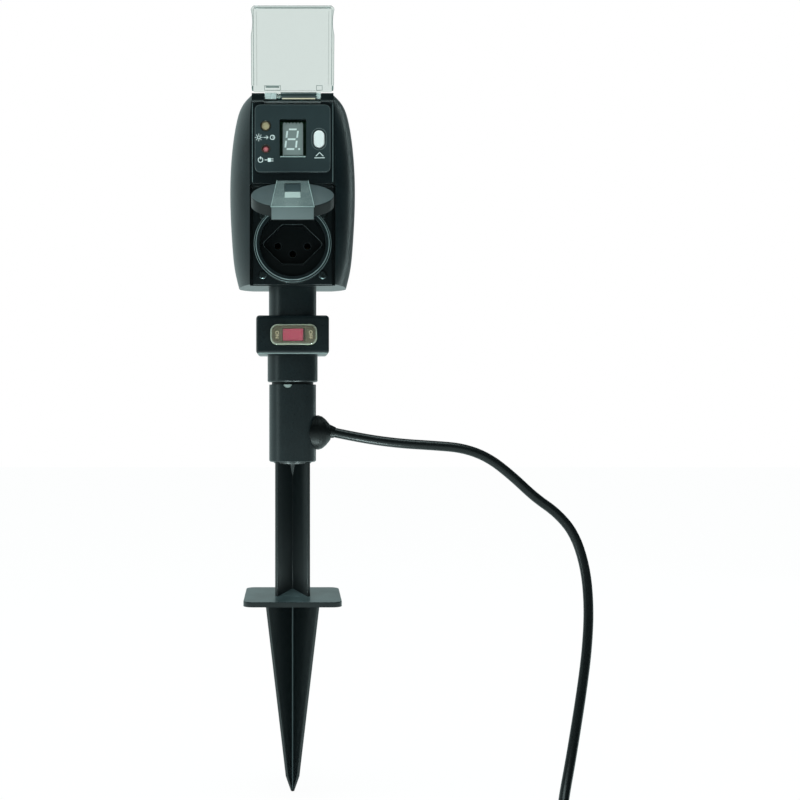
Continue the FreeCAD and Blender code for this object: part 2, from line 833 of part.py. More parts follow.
def make_head(base):
    """Barrel head of two moulded shells that meet at a seam, held by four screws from behind."""
    top = base + s.head_height
    wall, seam = s.head_wall, s.head_seam
    outer, inner = new_body("head_form"), new_body("head_hollow")
    levels = [(base + s.head_height * (level[0] / 121.7), *level[1:]) for level in HEAD_LEVELS]
    sections = [
        head_section(outer, f"outer_{n}", z, w, f, b, p, s.head_back_half * (p / 27.0))
        for n, (z, w, f, b, p) in enumerate(levels)
    ]
    loft(outer, "AdditiveLoft", "head_outer", sections, False)
    inside = [levels[0]] + levels[1:-1] + [levels[-1]]
    heights = [base + wall] + [z for z, *_ in levels[1:-1]] + [top - wall]
    sections = [
        head_section(
            inner,
            f"inner_{n}",
            z,
            w - wall,
            s.cavity_front,
            b - wall,
            p - 0.6,
            s.head_back_half * (p / 27.0) - wall,
        )
        for n, (z, (_, w, f, b, p)) in enumerate(zip(heights, inside))
    ]
    loft(inner, "AdditiveLoft", "head_inner", sections, False)
    far = 60
    front_half = block("front_half", (-far, far), (-far, seam - s.seam_gap / 2), (base - 5, top + 5))
    rear_half = block("rear_half", (-far, far), (seam + s.seam_gap / 2, far), (base - 5, top + 5))
    control = s.control_width / 2 + 0.3
    shelf = s.control_bottom - 0.6
    window = 22.4
    ring = (0, s.socket_up)
    front_solid = common("front_solid", outer, front_half)
    pockets = [
        block("control_pocket", (-control, control), (-far, -s.frame_seat), (shelf, top + 5)),
        block(
            "socket_pocket",
            (-s.head_panel_half + 0.1, s.head_panel_half - 0.1),
            (-far, -s.socket_seat),
            (base - 5, shelf),
        ),
        block("control_window", (-window, window), (-far, 0), (s.plate_bottom - 2, s.plate_top + 1.4)),
        rod("cup_hole", "y", (-far, seam + 1), ring, s.cup_radius + 0.3),
        rod("neck_hole", "z", (base - 1, base + wall + 1), (0, 0), s.neck_spigot_radius + 0.1),
    ]
    half = s.screw_square / 2
    corners = [(1, 1), (-1, 1), (-1, -1), (1, -1)]
    for n, (sx, sz) in enumerate(corners):
        place = (half * sx, s.socket_up + half * sz)
        pockets.append(rod(f"plate_pilot_{n}", "y", (-far, -9), place, s.plate_screw_radius + 0.05))
    shell_places = [
        (
            s.shell_screw_across * sx, base + (s.shell_screw_high if sz > 0 else s.shell_screw_low)
        ) for sx, sz in corners
    ]
    front_posts, rear_posts, screws = [], [], []
    sinks = [rod("neck_hole_rear", "z", (base - 1, base + wall + 1), (0, 0), s.neck_spigot_radius + 0.1)]
    bore = s.shell_screw_radius
    for n, place in enumerate(shell_places):
        front_posts.append(
            rod(f"front_post_{n}", "y", (-s.cavity_front, seam - s.seam_gap / 2), place, s.boss_radius)
        )
        rear_posts.append(
            rod(f"rear_post_{n}", "y", (seam + s.seam_gap / 2, far), place, s.boss_radius + 1.2)
        )
        pockets.append(rod(f"front_bore_{n}", "y", (-s.cavity_front + 2, far), place, bore + 0.05))
        sinks.append(rod(f"rear_bore_{n}", "y", (-far, far), place, bore + 0.1))
        sinks.append(rod(f"rear_sink_{n}", "y", (seam + 7, far), place, 3.1))
        shank = rod(f"shell_shank_{n}", "y", (seam - 14, seam + 7.5), place, bore)
        screws.append(
            fuse(f"shell_screw_{n}", shank, rod(f"shell_head_{n}", "y", (seam + 7.02, seam + 9), place, 2.9))
        )
    hollowed = cut("front_hollowed", front_solid, inner)
    pads = []
    for n, (sx, sz) in enumerate(corners):
        place = (half * sx, s.socket_up + half * sz)
        pads.append(rod(f"plate_pad_{n}", "y", (-s.socket_seat, -8), place, 3.2))
    shell = cut("front_shell", fuse("front_with_posts", hollowed, *front_posts, *pads), *pockets)
    keep("front_shell", shell)
    rear_solid = common("rear_solid", outer, rear_half)
    rear_hollow = cut("rear_hollowed", rear_solid, inner)
    trimmed = common("rear_posts", rear_solid, fuse("rear_posts_all", *rear_posts))
    keep("rear_shell", cut("rear_shell", fuse("rear_with_posts", rear_hollow, trimmed), *sinks))
    keep("shell_screws", group("shell_screws", *screws))


def slot_pad(name, x, z, width, height, front, length, corner=None):
    """An oblong bar along Y whose face is at the given distance in front of the axis."""
    body = new_body(name)
    outline = oblong(
        sketch(body, f"{name}_outline", "XZ", front - length),
        (x, z),
        width,
        height,
        corner or width / 2 - 0.01,
    )
    feature(body, "Pad", f"{name}_pad", outline, length)
    return body


def make_controls():
    """Control frame with its hinge ears, the label plate, display, light cell, lamp and button."""
    half, low, high = s.control_width / 2, s.control_bottom, s.control_top
    front = s.control_front
    axis = (-s.flap_axis_front, s.flap_axis_up)
    frame = block("control_form", (-half, half), (-front, -s.frame_seat), (low, high))
    ears = [
        block(
            "ear_left", (-half, -s.ear_left_inner), (-s.ear_front, -front + 1), (high - s.ear_height, high)
        ),
        block(
            "ear_right", (s.ear_right_inner, half), (-s.ear_front, -front + 1), (high - s.ear_height, high)
        ),
    ]
    ears = [
        rounded(f"ear_round_{n}", ear, 1.2, lambda e: along(e, vec(1, 0, 0)) and at(e, y=-s.ear_front))
        for n, ear in enumerate(ears)
    ]
    plate_front = front + s.plate_thickness
    tools = [
        rod(
            "hinge_trough",
            "x",
            (-s.ear_left_inner, s.ear_right_inner),
            axis,
            s.flap_offset + s.flap_thickness + 0.9,
        ),
        rod("ear_bores", "x", (-half + 2.4, half - 2.4), axis, s.lid_pin_radius + s.pin_clearance),
        slot_pad(
            "display_way",
            s.window_across,
            s.window_up,
            s.window_width + 0.4,
            s.window_height + 0.4,
            front + 1,
            12,
            dim(0.8),
        ),
        rod("photocell_way", "y", (-40, 0), (s.photocell_across, s.photocell_up), s.photocell_radius + 0.3),
        rod("led_way", "y", (-40, 0), (s.led_across, s.led_up), s.led_radius + 0.65),
        slot_pad(
            "button_way",
            s.button_across,
            s.button_up,
            s.button_width + 2.8,
            s.button_height + 2.8,
            front + 1,
            12,
        ),
        block("board_way", (-22, 22), (-s.frame_seat - 1.4, 0), (s.plate_bottom - 1, s.plate_top + 1)),
    ]
    keep("control_frame", cut("control_frame", fuse("control_solid", frame, *ears), *tools))
    middle = (s.plate_bottom + s.plate_top) / 2
    plate = slot_pad(
        "label_form", dim(
            0
        ), middle, s.plate_width, s.plate_top - s.plate_bottom, plate_front, s.plate_thickness, s.plate_corner
    )
    plate = rounded("label_round", plate, 0.5, lambda e: at(e, y=-plate_front))
    tools = [
        slot_pad(
            "display_hole",
            s.window_across,
            s.window_up,
            s.window_width,
            s.window_height,
            plate_front + 1,
            5,
            dim(0.8),
        ),
        rod("photocell_hole", "y", (-40, 0), (s.photocell_across, s.photocell_up), s.photocell_radius + 0.45),
        rod("led_hole", "y", (-40, 0), (s.led_across, s.led_up), s.led_radius + 0.65),
        slot_pad(
            "button_hole",
            s.button_across,
            s.button_up,
            s.button_width + 0.8,
            s.button_height + 0.8,
            plate_front + 1,
            5,
        ),
    ]
    keep("label_plate", cut("label_plate", plate, *tools))
    board = -s.board_front
    rear = board + s.board_thickness
    wide = 21.4
    keep("control_board", block("control_board", (-wide, wide), (board, rear), (s.plate_bottom, s.plate_top)))
    dw, dh = s.display_width / 2, s.display_height / 2
    x, z = s.window_across, s.window_up
    keep("display", block("display", (x - dw, x + dw), (board - s.display_depth, board), (z - dh, z + dh)))
    across, up = s.photocell_across, s.photocell_up
    lens = rod(
        "photocell_lens", "y", (-plate_front + 0.8, -plate_front + 4), (across, up), s.photocell_radius
    )
    lens = rounded("photocell_lens_round", lens, 0.9, lambda e: at(e, y=-plate_front + 0.8))
    keep("photocell_lens", lens)
    cell = rod(
        "photocell_disc", "y", (-plate_front + 4, -plate_front + 6), (across, up), s.photocell_radius - 0.4
    )
    legs = [
        rod(f"photocell_leg_{n}", "y", (-plate_front + 5.9, board), (across + dx, up), 0.3)
        for n, dx in enumerate((-1.3, 1.3))
    ]
    keep("photocell", fuse("photocell", cell, *legs))
    across, up = s.led_across, s.led_up
    r = s.led_radius
    bulb = rod("led_bulb", "y", (-plate_front + 0.5, -plate_front + 6), (across, up), r)
    bulb = rounded("led_dome", bulb, r - 0.1, lambda e: at(e, y=-plate_front + 0.5))
    foot = rod("led_foot", "y", (-plate_front + 6, -plate_front + 7), (across, up), r + 0.45)
    legs = [
        rod(f"led_leg_{n}", "y", (-plate_front + 6.9, board), (across + dx, up), 0.25)
        for n, dx in enumerate((-1.2, 1.2))
    ]
    keep("power_lamp", fuse("power_lamp", bulb, foot, *legs))
    across, up = s.button_across, s.button_up
    cap = slot_pad(
        "button_cap",
        across,
        up,
        s.button_width,
        s.button_height,
        plate_front + s.button_proud,
        s.plate_thickness + s.button_proud + 0.1,
    )
    cap = rounded("button_round", cap, 0.7, lambda e: at(e, y=-plate_front - s.button_proud))
    rim = slot_pad("button_rim", across, up, s.button_width + 2.2, s.button_height + 2.2, front - 0.1, 1.2)
    stem = block(
        "button_stem",
        (across - 1.6, across + 1.6),
        (-front + 1.2, board - 3.8 - s.button_travel - 0.1),
        (up - 1.6, up + 1.6),
    )
    keep("push_button", fuse("push_button", cap, rim, stem))
    base = block("tact_base", (across - 3, across + 3), (board - 3.3, board), (up - 3, up + 3))
    keep(
        "tact_switch",
        fuse("tact_switch", base, rod("tact_plunger", "y", (board - 3.8, board - 3.2), (across, up), 1.7)),
    )
    relay = block("relay", (-17, 2), (rear, rear + 15), (292, 307.5))
    keep("relay", bevelled("relay_round", relay, 0.8, lambda e: along(e, vec(0, 1, 0))))
    can = rod("capacitor", "y", (rear, rear + 14), (11.5, 300), 5)
    keep("capacitor", bevelled("capacitor_round", can, 0.8, lambda e: at(e, y=rear + 14)))
    core = block("transformer_core", (-11, 11), (rear + 3, rear + 12), (275, 288))
    coil = block("transformer_coil", (-7, 7), (rear, rear + 15), (276.6, 286.4))
    keep("transformer", fuse("transformer", core, coil))


def make_flap():
    """Clear flap: panel, drip walls, finger scallops and the hinge rod with its stub pins."""
    half, end, root = s.flap_width / 2, s.flap_length, s.flap_root
    back = s.flap_offset + s.flap_thickness
    wall = 1.6
    body = new_body("flap_panel")
    tall = end - root
    outline = oblong(sketch(body, "flap_outline", "XZ", -back), (0, root + tall / 2), s.flap_width, tall, 2.6)
    feature(body, "Pad", "flap_slab", outline, s.flap_thickness + s.flap_wall_depth)
    low = s.ear_front - s.control_front + 3.6
    tray = polygon(
        sketch(body, "flap_tray", "XZ", -s.flap_offset),
        [(wall - half, -1), (half - wall, -1), (half - wall, end - wall), (wall - half, end - wall)],
    )
    feature(body, "Pocket", "flap_hollow", tray, s.flap_wall_depth + 1, Reversed=True)
    ends = polygon(
        sketch(body, "flap_ends", "XZ", -s.flap_offset),
        [(-half - 1, -1), (half + 1, -1), (half + 1, low), (-half - 1, low)],
    )
    feature(body, "Pocket", "flap_relief", ends, s.flap_wall_depth + 1, Reversed=True)
    scallop = sketch(body, "flap_scallops", "XZ", -back)
    deep, long_ = 0.95, 7.6
    radius = (deep * deep + long_ * long_) / (2 * deep)
    for side in (-1, 1):
        circle(scallop, ((half + (radius - deep)) * side, end - 9.6), radius)
    feature(body, "Pocket", "flap_grips", scallop, s.flap_thickness + s.flap_wall_depth + 1, Reversed=True)
    lines = sketch(body, "flap_lines", "XZ", -s.flap_offset)
    for side in (-1, 1):
        x = (half - 3.4) * side
        polygon(lines, [(x - 0.25, low), (x + 0.25, low), (x + 0.25, end - 3.0), (x - 0.25, end - 3.0)])
    feature(body, "Pocket", "flap_beads", lines, 0.35)
    left, right = -s.ear_left_inner + 0.3, s.ear_right_inner - 0.3
    stubs = (-half + 3.4, half - 3.4)
    pieces = [
        body,
        block("flap_web", (left, right), (s.flap_offset - 0.1, back), (0, root + 1)),
        rod("flap_rod", "x", (left + 10, right - 2.7), (0, 0), s.flap_rod_radius),
        rod("flap_lug_left", "x", (left, left + 7.5), (0, 0), s.flap_rod_radius - 0.4),
        rod("flap_lug_right", "x", (right - 2.8, right), (0, 0), s.flap_rod_radius - 0.4),
        rod("flap_lug_core", "x", (left + 7.4, left + 10.1), (0, 0), 1.4),
        block("flap_lug_web", (left, left + 7.5), (0.6, back), (0, 1.8)),
        block("flap_lug_web_right", (right - 2.8, right), (0.6, back), (0, 1.8)),
        rod("flap_stubs", "x", stubs, (0, 0), s.lid_pin_radius),
    ]
    flap = fuse("clear_flap", *pieces)
    put(flap, 0, -s.flap_axis_front, s.flap_axis_up, turn=FreeCAD.Rotation(vec(1, 0, 0), SIZES["flap_lean"]))
    bind(flap, "Placement.Rotation.Angle", s.flap_lean)
    keep("clear_flap", flap)


def make_socket():
    """Panel socket: square flange with its ring, gasket, insert with the plug recess and contacts."""
    up = s.socket_up
    ring = (0, up)
    half = s.socket_flange / 2
    gasket_front = s.socket_seat + s.gasket_thickness
    face = gasket_front + s.socket_flange_thickness
    flange = block("socket_flange", (-half, half), (-face, -gasket_front), (up - half, up + half))
    step = rod("ring_step", "y", (-face - 1.4, -face + 0.1), ring, s.ring_radius + 0.9)
    collar = rod("ring_wall", "y", (-s.collar_rim, -gasket_front), ring, s.ring_radius)
    collar = bevelled("ring_wall_round", collar, 0.7, lambda e: at(e, y=-s.collar_rim))
    cup = rod("cup_wall", "y", (-gasket_front - 0.1, s.cup_depth), ring, s.cup_radius)
    ear_low, ear_top = up + half + 0.6, s.lid_axis_up + s.knuckle_radius
    ears = [block("hinge_back", (-13.4, 13.4), (-face, -gasket_front), (up + half - 0.1, ear_top + 0.3))]
    for n, side in enumerate((-1, 1)):
        inner, outer = s.lid_band_narrow + 0.4, s.lid_band_narrow + 3.6
        span = (inner, outer) if side > 0 else (-outer, -inner)
        ears.append(block(f"hinge_ear_{n}", span, (-s.lid_axis_front - 2.6, -face + 0.1), (ear_low, ear_top)))
    tools = [
        rod("ring_bore", "y", (-40, 40), ring, s.ring_bore),
        rod("lid_pin_bore", "x", (-20, 20), (-s.lid_axis_front, s.lid_axis_up), s.lid_pin_radius + 0.02),
    ]
    corners = [(1, 1), (-1, 1), (-1, -1), (1, -1)]
    square = s.screw_square / 2
    screws, gasket_holes = [], []
    for n, (sx, sz) in enumerate(corners):
        place = (square * sx, up + square * sz)
        tools.append(rod(f"flange_hole_{n}", "y", (-40, 0), place, s.plate_screw_radius + 0.15))
        gasket_holes.append(rod(f"gasket_hole_{n}", "y", (-40, 0), place, s.plate_screw_radius + 0.15))
        head = rod(f"plate_head_{n}", "y", (-face - 1.3, -face), place, s.plate_screw_head)
        head = bevelled(f"plate_head_round_{n}", head, 0.6, lambda e: at(e, y=-face - 1.3))
        cross = [
            block(
                f"drive_{n}_{m}",
                (place[0] - a, place[0] + a),
                (-face - 2, -face - 0.7),
                (place[1] - b, place[1] + b),
            )
            for m, (a, b) in enumerate(((0.3, 1.4), (1.4, 0.3)))
        ]
        shank = rod(f"plate_shank_{n}", "y", (-face - 0.1, -9.5), place, s.plate_screw_radius)
        screws.append(cut(f"plate_screw_{n}", fuse(f"plate_screw_solid_{n}", head, shank), *cross))
    solid = fuse("socket_solid", flange, step, collar, cup, *ears)
    keep("socket_frame", cut("socket_frame", solid, *tools))
    keep("socket_screws", group("socket_screws", *screws))
    sheet = block(
        "gasket_form",
        (0.5 - half, half - 0.5),
        (-gasket_front, -s.socket_seat),
        (up - half + 0.5, up + half - 0.5),
    )
    hole = rod("gasket_bore", "y", (-40, 0), ring, s.cup_radius + 0.2)
    keep("socket_gasket", cut("socket_gasket", sheet, hole, *gasket_holes))
    make_insert(up)


def make_insert(up):
    """Insert with the six-sided plug recess, three pin holes and the contacts behind them."""
    front, floor = s.insert_front, s.insert_front - s.recess_depth
    inner = floor - s.pin_hole_length
    back = s.cup_depth + 2
    body = new_body("socket_insert")
    outline = circle(sketch(body, "insert_outline", "XZ", -back), (0, up), s.ring_bore - 0.05)
    feature(body, "Pad", "insert_core", outline, back + front)

    def recess(name, grow, offset):
        """Six-sided outline with flats above and below and points at the sides."""
        w, h, f = s.recess_width / 2 + grow, s.recess_height / 2 + grow, s.recess_flat / 2
        points = [(f, -h), (w, 0), (f, h), (-f, h), (-w, 0), (-f, -h)]
        return polygon(sketch(body, name, "XZ", offset), [(x, up + y) for x, y in points])

    feature(body, "Pad", "recess_lip", recess("recess_lip_outline", 0.8, front - 0.1), 0.6)
    pit = feature(body, "Pocket", "recess", recess("recess_outline", 0.0, front + 0.6), s.recess_depth + 0.6)
    flats = (s.recess_flat / 2).value
    dress(
        body, "Fillet", "recess_round", pit, "Radius", 3.0,
        lambda e: along(e, vec(0, 1, 0)) and abs(abs(e.CenterOfMass.x) - flats) < 0.9,
    )
    pins = [(-s.pin_spacing / 2, up), (s.pin_spacing / 2, up), (dim(0), up - s.earth_drop)]
    holes = sketch(body, "pin_holes", "XZ", floor)
    wells = sketch(body, "contact_wells", "XZ", -back)
    for place in pins:
        circle(holes, place, s.pin_hole_radius)
        circle(wells, place, s.pin_hole_radius + 1.2)
    feature(body, "Pocket", "pin_bores", holes, back + floor)
    feature(body, "Pocket", "contact_bores", wells, back + inner, Reversed=True)
    keep("socket_insert", body)
    names = ("live_contact", "neutral_contact", "earth_contact")
    screws = []
    for name, (x, z) in zip(names, pins):
        r = s.pin_hole_radius
        barrel = rod(f"{name}_barrel", "y", (-inner + 0.1, back + 2), (x, z), r + 1.1)
        tail = block(f"{name}_tail", (x - 2.4, x + 2.4), (back + 1.9, back + 6), (z - 2.4, z + 2.4))
        bore = rod(f"{name}_bore", "y", (-inner, back - 1), (x, z), r)
        wire = rod(f"{name}_wire_hole", "y", (back + 3, back + 7), (x, z), 0.9)
        keep(name, cut(name, fuse(f"{name}_solid", barrel, tail), bore, wire))
        screws.append(rod(f"{name}_screw", "z", (z + 2.4, z + 3.6), (x, back + 4.2), 1.5))
    keep("contact_screws", group("contact_screws", *screws))


def make_lid():
    """Hinged socket lid: disc with its skirt, the raised band, finger tab, arm and knuckle."""
    drop = s.lid_axis_up - s.socket_up
    r, face = s.lid_radius, s.lid_face
    band = face + s.lid_band_rise
    body = new_body("lid_disc")
    outline = circle(sketch(body, "lid_outline", "XZ", s.lid_rim), (0, -drop), r)
    disc = feature(body, "Pad", "lid_solid", outline, face - s.lid_rim)
    disc = dress(body, "Fillet", "lid_round", disc, "Radius", 0.6, lambda e: at(e, y=-face))
    hollow = circle(sketch(body, "lid_hollow", "XZ"), (0, -drop), r - s.lid_wall)
    feature(body, "Pocket", "lid_inside", hollow, face - s.lid_thickness, Reversed=True)
    end = -(drop + r + 1)
    near, far = s.lid_band_narrow, s.lid_band_wide
    raised = polygon(
        sketch(body, "band_outline", "XZ", face - s.lid_thickness),
        [(-near, -s.lid_band_top), (-far, end), (far, end), (near, -s.lid_band_top)],
    )
    feature(body, "Pad", "lid_band", raised, s.lid_thickness + s.lid_band_rise)
    tab = polygon(
        sketch(body, "tab_outline", "XZ", 0.5), [(-far, end), (far, end), (far, end + 2.2), (-far, end + 2.2)]
    )
    feature(body, "Pad", "lid_tab", tab, band - 0.5)
    panel = polygon(
        sketch(body, "panel_outline", "XZ", band), [(-4.9, -30.0), (4.9, -30.0), (4.9, -12.5), (-4.9, -12.5)]
    )
    feature(body, "Pocket", "lid_panel", panel, 0.4)
    arm_body = new_body("lid_arm")
    knuckle = s.knuckle_radius
    profile = [
        (0, -knuckle),
        (-knuckle * 0.7, knuckle * 0.6),
        (-s.lid_heel, -0.4),
        (-band, -s.lid_band_top),
        (-band, -10.5),
        (-face + s.lid_thickness, -10.5),
        (-face + s.lid_thickness, -7.2),
    ]
    outline = polygon(sketch(arm_body, "arm_outline", "YZ", -near), profile)
    feature(arm_body, "Pad", "arm", outline, near * 2)
    barrel = rod("knuckle", "x", (-near, near), (0, 0), knuckle)
    bore = rod("knuckle_bore", "x", (-near - 1, near + 1), (0, 0), s.lid_pin_radius + s.pin_clearance)
    lid = cut("socket_lid", fuse("lid_parts", body, arm_body, barrel), bore)
    turn = FreeCAD.Rotation(vec(-1, 0, 0), SIZES["lid_open"])
    put(lid, 0, -s.lid_axis_front, s.lid_axis_up, turn=turn)
    bind(lid, "Placement.Rotation.Angle", s.lid_open)
    keep("socket_lid", lid)
    seal = cut(
        "lid_seal",
        rod(
            "seal_outer",
            "y",
            (s.lid_thickness - face, s.lid_thickness - face + s.lid_seal_thickness),
            (0, -drop),
            s.ring_radius - 0.1,
        ),
        rod("seal_inner", "y", (-face, face), (0, -drop), s.ring_bore),
    )
    put(seal, 0, -s.lid_axis_front, s.lid_axis_up, turn=turn)
    bind(seal, "Placement.Rotation.Angle", s.lid_open)
    keep("lid_seal", seal)
    reach = s.lid_band_narrow + 3.4
    pin = rod("lid_hinge_pin", "x", (-reach, reach), (-s.lid_axis_front, s.lid_axis_up), s.lid_pin_radius)
    keep("lid_hinge_pin", pin)


def cord_route():
    """The free run of the lead, from the gland's nose down to the coil."""
    up = gland_height().value
    return [(x, y, up + z) for x, y, z in CORD_LEAVING] + CORD_FALLING


def fillet_path(points):
    """Straight runs joined by tangent arcs as large as the runs allow; also gives the radii."""
    points = [vec(*point) for point in points]
    edges, radii = [], []
    start = points[0]
    for before, corner, after in zip(points, points[1:], points[2:]):
        way_in, way_out = (corner - before).normalize(), (after - corner).normalize()
        turn = way_in.getAngle(way_out)
        reach = 0.45 * min((corner - before).Length, (after - corner).Length)
        radii.append(reach / math.tan(turn / 2))
        begin, end = corner - way_in * reach, corner + way_out * reach
        inward = (way_out - way_in).normalize()
        middle = corner + inward * (radii[-1] / math.cos(turn / 2) - radii[-1])
        edges.append(Part.LineSegment(start, begin).toShape())
        edges.append(Part.Arc(begin, middle, end).toShape())
        start = end
    edges.append(Part.LineSegment(start, points[-1]).toShape())
    return Part.Wire(edges), radii


def arc_to(start, way, end):
    """The arc that leaves a point along a direction and ends at another point."""
    chord = end - start
    unit = vec(chord).normalize()
    side = way - unit * way.dot(unit)
    if side.Length < 1e-9:
        return Part.LineSegment(start, end).toShape()
    angle = way.getAngle(unit)
    middle = (start + end) * 0.5 + side.normalize() * (chord.Length / 2 * math.tan(angle / 2))
    return Part.Arc(start, middle, end).toShape()


def biarc(start, way_in, end, way_out):
    """Two arcs that leave the start and reach the end along the given directions."""
    span, both = end - start, way_in + way_out
    spread = 2 * (1 - way_in.dot(way_out))
    reach = (math.sqrt(span.dot(both) ** 2 + spread * span.dot(span)) - span.dot(both)) / spread
    joint = (start + end + (way_in - way_out) * reach) * 0.5
    first = arc_to(start, way_in, joint)
    second = arc_to(end, way_out * -1, joint)
    return [first, second]


def tube(name, wire, radius):
    """A round tube along a wire, in default pipe mode."""
    start = wire.OrderedVertexes[0].Point
    first = wire.OrderedEdges[0]
    end = first.firstVertex(True).Point.distanceToPoint(start) < 1e-6
    way = first.tangentAt(first.FirstParameter if end else first.LastParameter)
    ring = Part.Wire([Part.Circle(start, way, radius).toShape()])
    shape = wire.makePipeShell([ring], True, False)
    expected = math.pi * radius**2 * wire.Length
    print(f"{name}: length {wire.Length:.1f}, volume over section times length {shape.Volume / expected:.4f}")
    item = doc.addObject("Part::Feature", name)
    item.Shape = shape
    keep(name, item)
    return item


def coil_point(turns):
    """A point of the coil: in along the lower layer, out along the upper, climbing at the reversal."""
    reverse = COIL_TURNS / 2
    inward = turns if turns < reverse else COIL_TURNS - turns
    radius = s.coil_outer_radius.value - s.coil_step.value * inward
    climb = min(1.0, max(0.0, (turns - reverse + 0.25) / 0.5))
    height = -s.blade_length.value + s.coil_lift.value + s.cord_diameter.value / 2
    angle = math.pi + 2 * math.pi * turns
    x, y = COIL_CENTRE
    lift = s.coil_layer.value * (0.5 - 0.5 * math.cos(math.pi * climb))
    return vec(x + radius * math.cos(angle), y + radius * math.sin(angle), height + lift)


def make_lead():
    """Mains lead from the gland to the coil, the coil itself, its tie and the plug."""
    radius = s.cord_diameter.value / 2
    wire, radii = fillet_path(cord_route())
    print("cord radii:", ", ".join(f"{r:.0f}" for r in radii))
    tube("mains_cord", wire, radius)
    total = wire.Length
    steps = 20
    small = 1e-3
    knots = [COIL_TURNS * n / steps for n in range(steps + 1)]
    places = [coil_point(t) for t in knots]
    ways = [(coil_point(t + small) - coil_point(t - small)).normalize() for t in knots]
    ways[0] = vec(0, -1, 0)
    edges = []
    for n in range(steps):
        edges += biarc(places[n], ways[n], places[n + 1], ways[n + 1])
    ways[-1].z = 0
    way = ways[-1].normalize()
    tail = places[-1] + way * s.coil_tail.value
    edges.append(Part.LineSegment(places[-1], tail).toShape())
    spiral = Part.Wire(Part.__sortEdges__(edges))
    tube("mains_cord_coil", spiral, radius)
    total += spiral.Length
    print(f"cord length {total:.0f}, coil gap {coil_gap(radius):.2f}")
    make_tie()
    make_plug(tail, way)


def coil_gap(radius):
    """Least gap of the coil to itself, on points along it that are over half a turn apart."""
    count = 600
    points = [coil_point(COIL_TURNS * n / count) for n in range(count + 1)]
    apart = int(count / COIL_TURNS * 0.5)
    return min(
        (points[a] - points[b]).Length - 2 * radius
        for a in range(0, count, 3)
        for b in range(a + apart, count + 1, 3)
    )


def make_tie():
    """Flat strap round the bundle of turns, on the side away from the object."""
    x, y = COIL_CENTRE
    outer = s.coil_outer_radius + s.cord_diameter / 2
    inner = s.coil_outer_radius - s.coil_step * (COIL_TURNS / 2) - s.cord_diameter / 2
    floor = -s.blade_length
    low = floor + s.coil_lift - 0.05
    high = floor + s.coil_lift + s.cord_diameter + s.coil_layer + 0.1
    gap, thick = 0.8, 0.6
    wide = 4.0
    band = block(
        "tie_form",
        (x + inner - gap - thick, x + outer + gap + thick),
        (y - wide, y + wide),
        (floor, high + thick),
    )
    window = block(
        "tie_window", (x + inner - gap, x + outer + gap), (y - wide - 1, y + wide + 1), (low, high)
    )
    band = rounded("tie_round", band, 1.2, lambda e: along(e, vec(0, 1, 0)))
    keep("cord_tie", cut("cord_tie", band, window))


def make_plug(start, way):
    """Three pin plug lying flat at the end of the lead, with its tapered boot and half sleeved pins."""
    turn = FreeCAD.Rotation(vec(1, 0, 0), vec(way.x, way.y, 0))

    def settle(item, name):
        """Turn a piece into the direction of the lead's end and set it there."""
        item.Placement = FreeCAD.Placement(start, turn)
        keep(name, item)

    tapers = []
    radii = [s.cord_diameter / 2 + grow for grow in (0.3, 0.6, 2.2)]
    reach = [dim(0), s.plug_boot_slim, s.plug_boot_length]
    for n in range(2):
        taper = doc.addObject("Part::Cone", f"boot_taper_{n}")
        bind(taper, "Radius1", radii[n])
        bind(taper, "Radius2", radii[n + 1])
        bind(taper, "Height", reach[n + 1] - reach[n])
        tapers.append(put(taper, reach[n], 0, 0, turn=TURNS["x"]))
    settle(fuse("plug_boot_piece", *tapers), "plug_boot")
    body = new_body("plug_form")
    w, h, f = s.plug_width / 2, s.plug_height / 2, s.recess_flat / 2
    sections = []
    for n, (share, place) in enumerate([(0.55, 0), (0.96, 9), (1.0, 14)]):
        points = [(f * share, -h * share), (w * share, 0), (f * share, h * share)]
        points += [(-x, -y) for x, y in points]
        ring = [(dim(x), dim(y)) for x, y in points]
        sections.append(polygon(sketch(body, f"plug_section_{n}", "YZ", s.plug_boot_length + place), ring))
    loft(body, "AdditiveLoft", "plug_shoulder", sections[:2] + sections[2:], True)
    points = [(f, -h), (w, dim(0)), (f, h)]
    points += [(-x, -y) for x, y in points]
    outline = polygon(sketch(body, "plug_outline_front", "YZ", s.plug_boot_length + 14), points)
    front = feature(body, "Pad", "plug_front", outline, s.plug_length - 14)
    face = s.plug_boot_length + s.plug_length
    dress(body, "Fillet", "plug_round", front, "Radius", 1.0, lambda e: at(e, x=face))
    settle(fuse_single("plug_body_piece", body), "plug_body")
    pins = []
    half = s.pin_spacing / 2
    for n, (y, z) in enumerate([(-half, 0), (half, 0), (dim(0), -s.earth_drop)]):
        pin = rod(f"plug_pin_{n}", "x", (face, face + s.plug_pin_length), (y, z), s.plug_pin_radius)
        pins.append(bevelled(f"plug_pin_round_{n}", pin, 0.8, lambda e: at(e, x=face + s.plug_pin_length)))
    settle(group("plug_pins_group", *pins), "plug_pins")


def fuse_single(name, piece):
    """A holder that lets one piece be turned as a whole."""
    item = doc.addObject("Part::Compound", name)
    item.Links = [piece]
    return item


def make_wires(base):
    """Three insulated wires from the gland up the column to the socket."""
    start = s.gland_nut_radius.value - 3.4
    up = gland_height().value
    top = (base + s.head_wall + 1).value
    names = ("live_wire", "neutral_wire", "earth_wire")
    for name, side, (x, y) in zip(names, (-2.9, 0.0, 2.9), ((-5.9, 5.9), (-0.8, 8.3), (5.6, 6.4))):
        fan = (start + (x - start) * 0.45, side + (y - side) * 0.45, up + 5)
        route = [(start, side, up), fan, (x, y, up + 18), (x + 0.4, y + 0.2, top)]
        wire, _ = fillet_path(route)
        tube(name, wire, s.wire_radius.value)


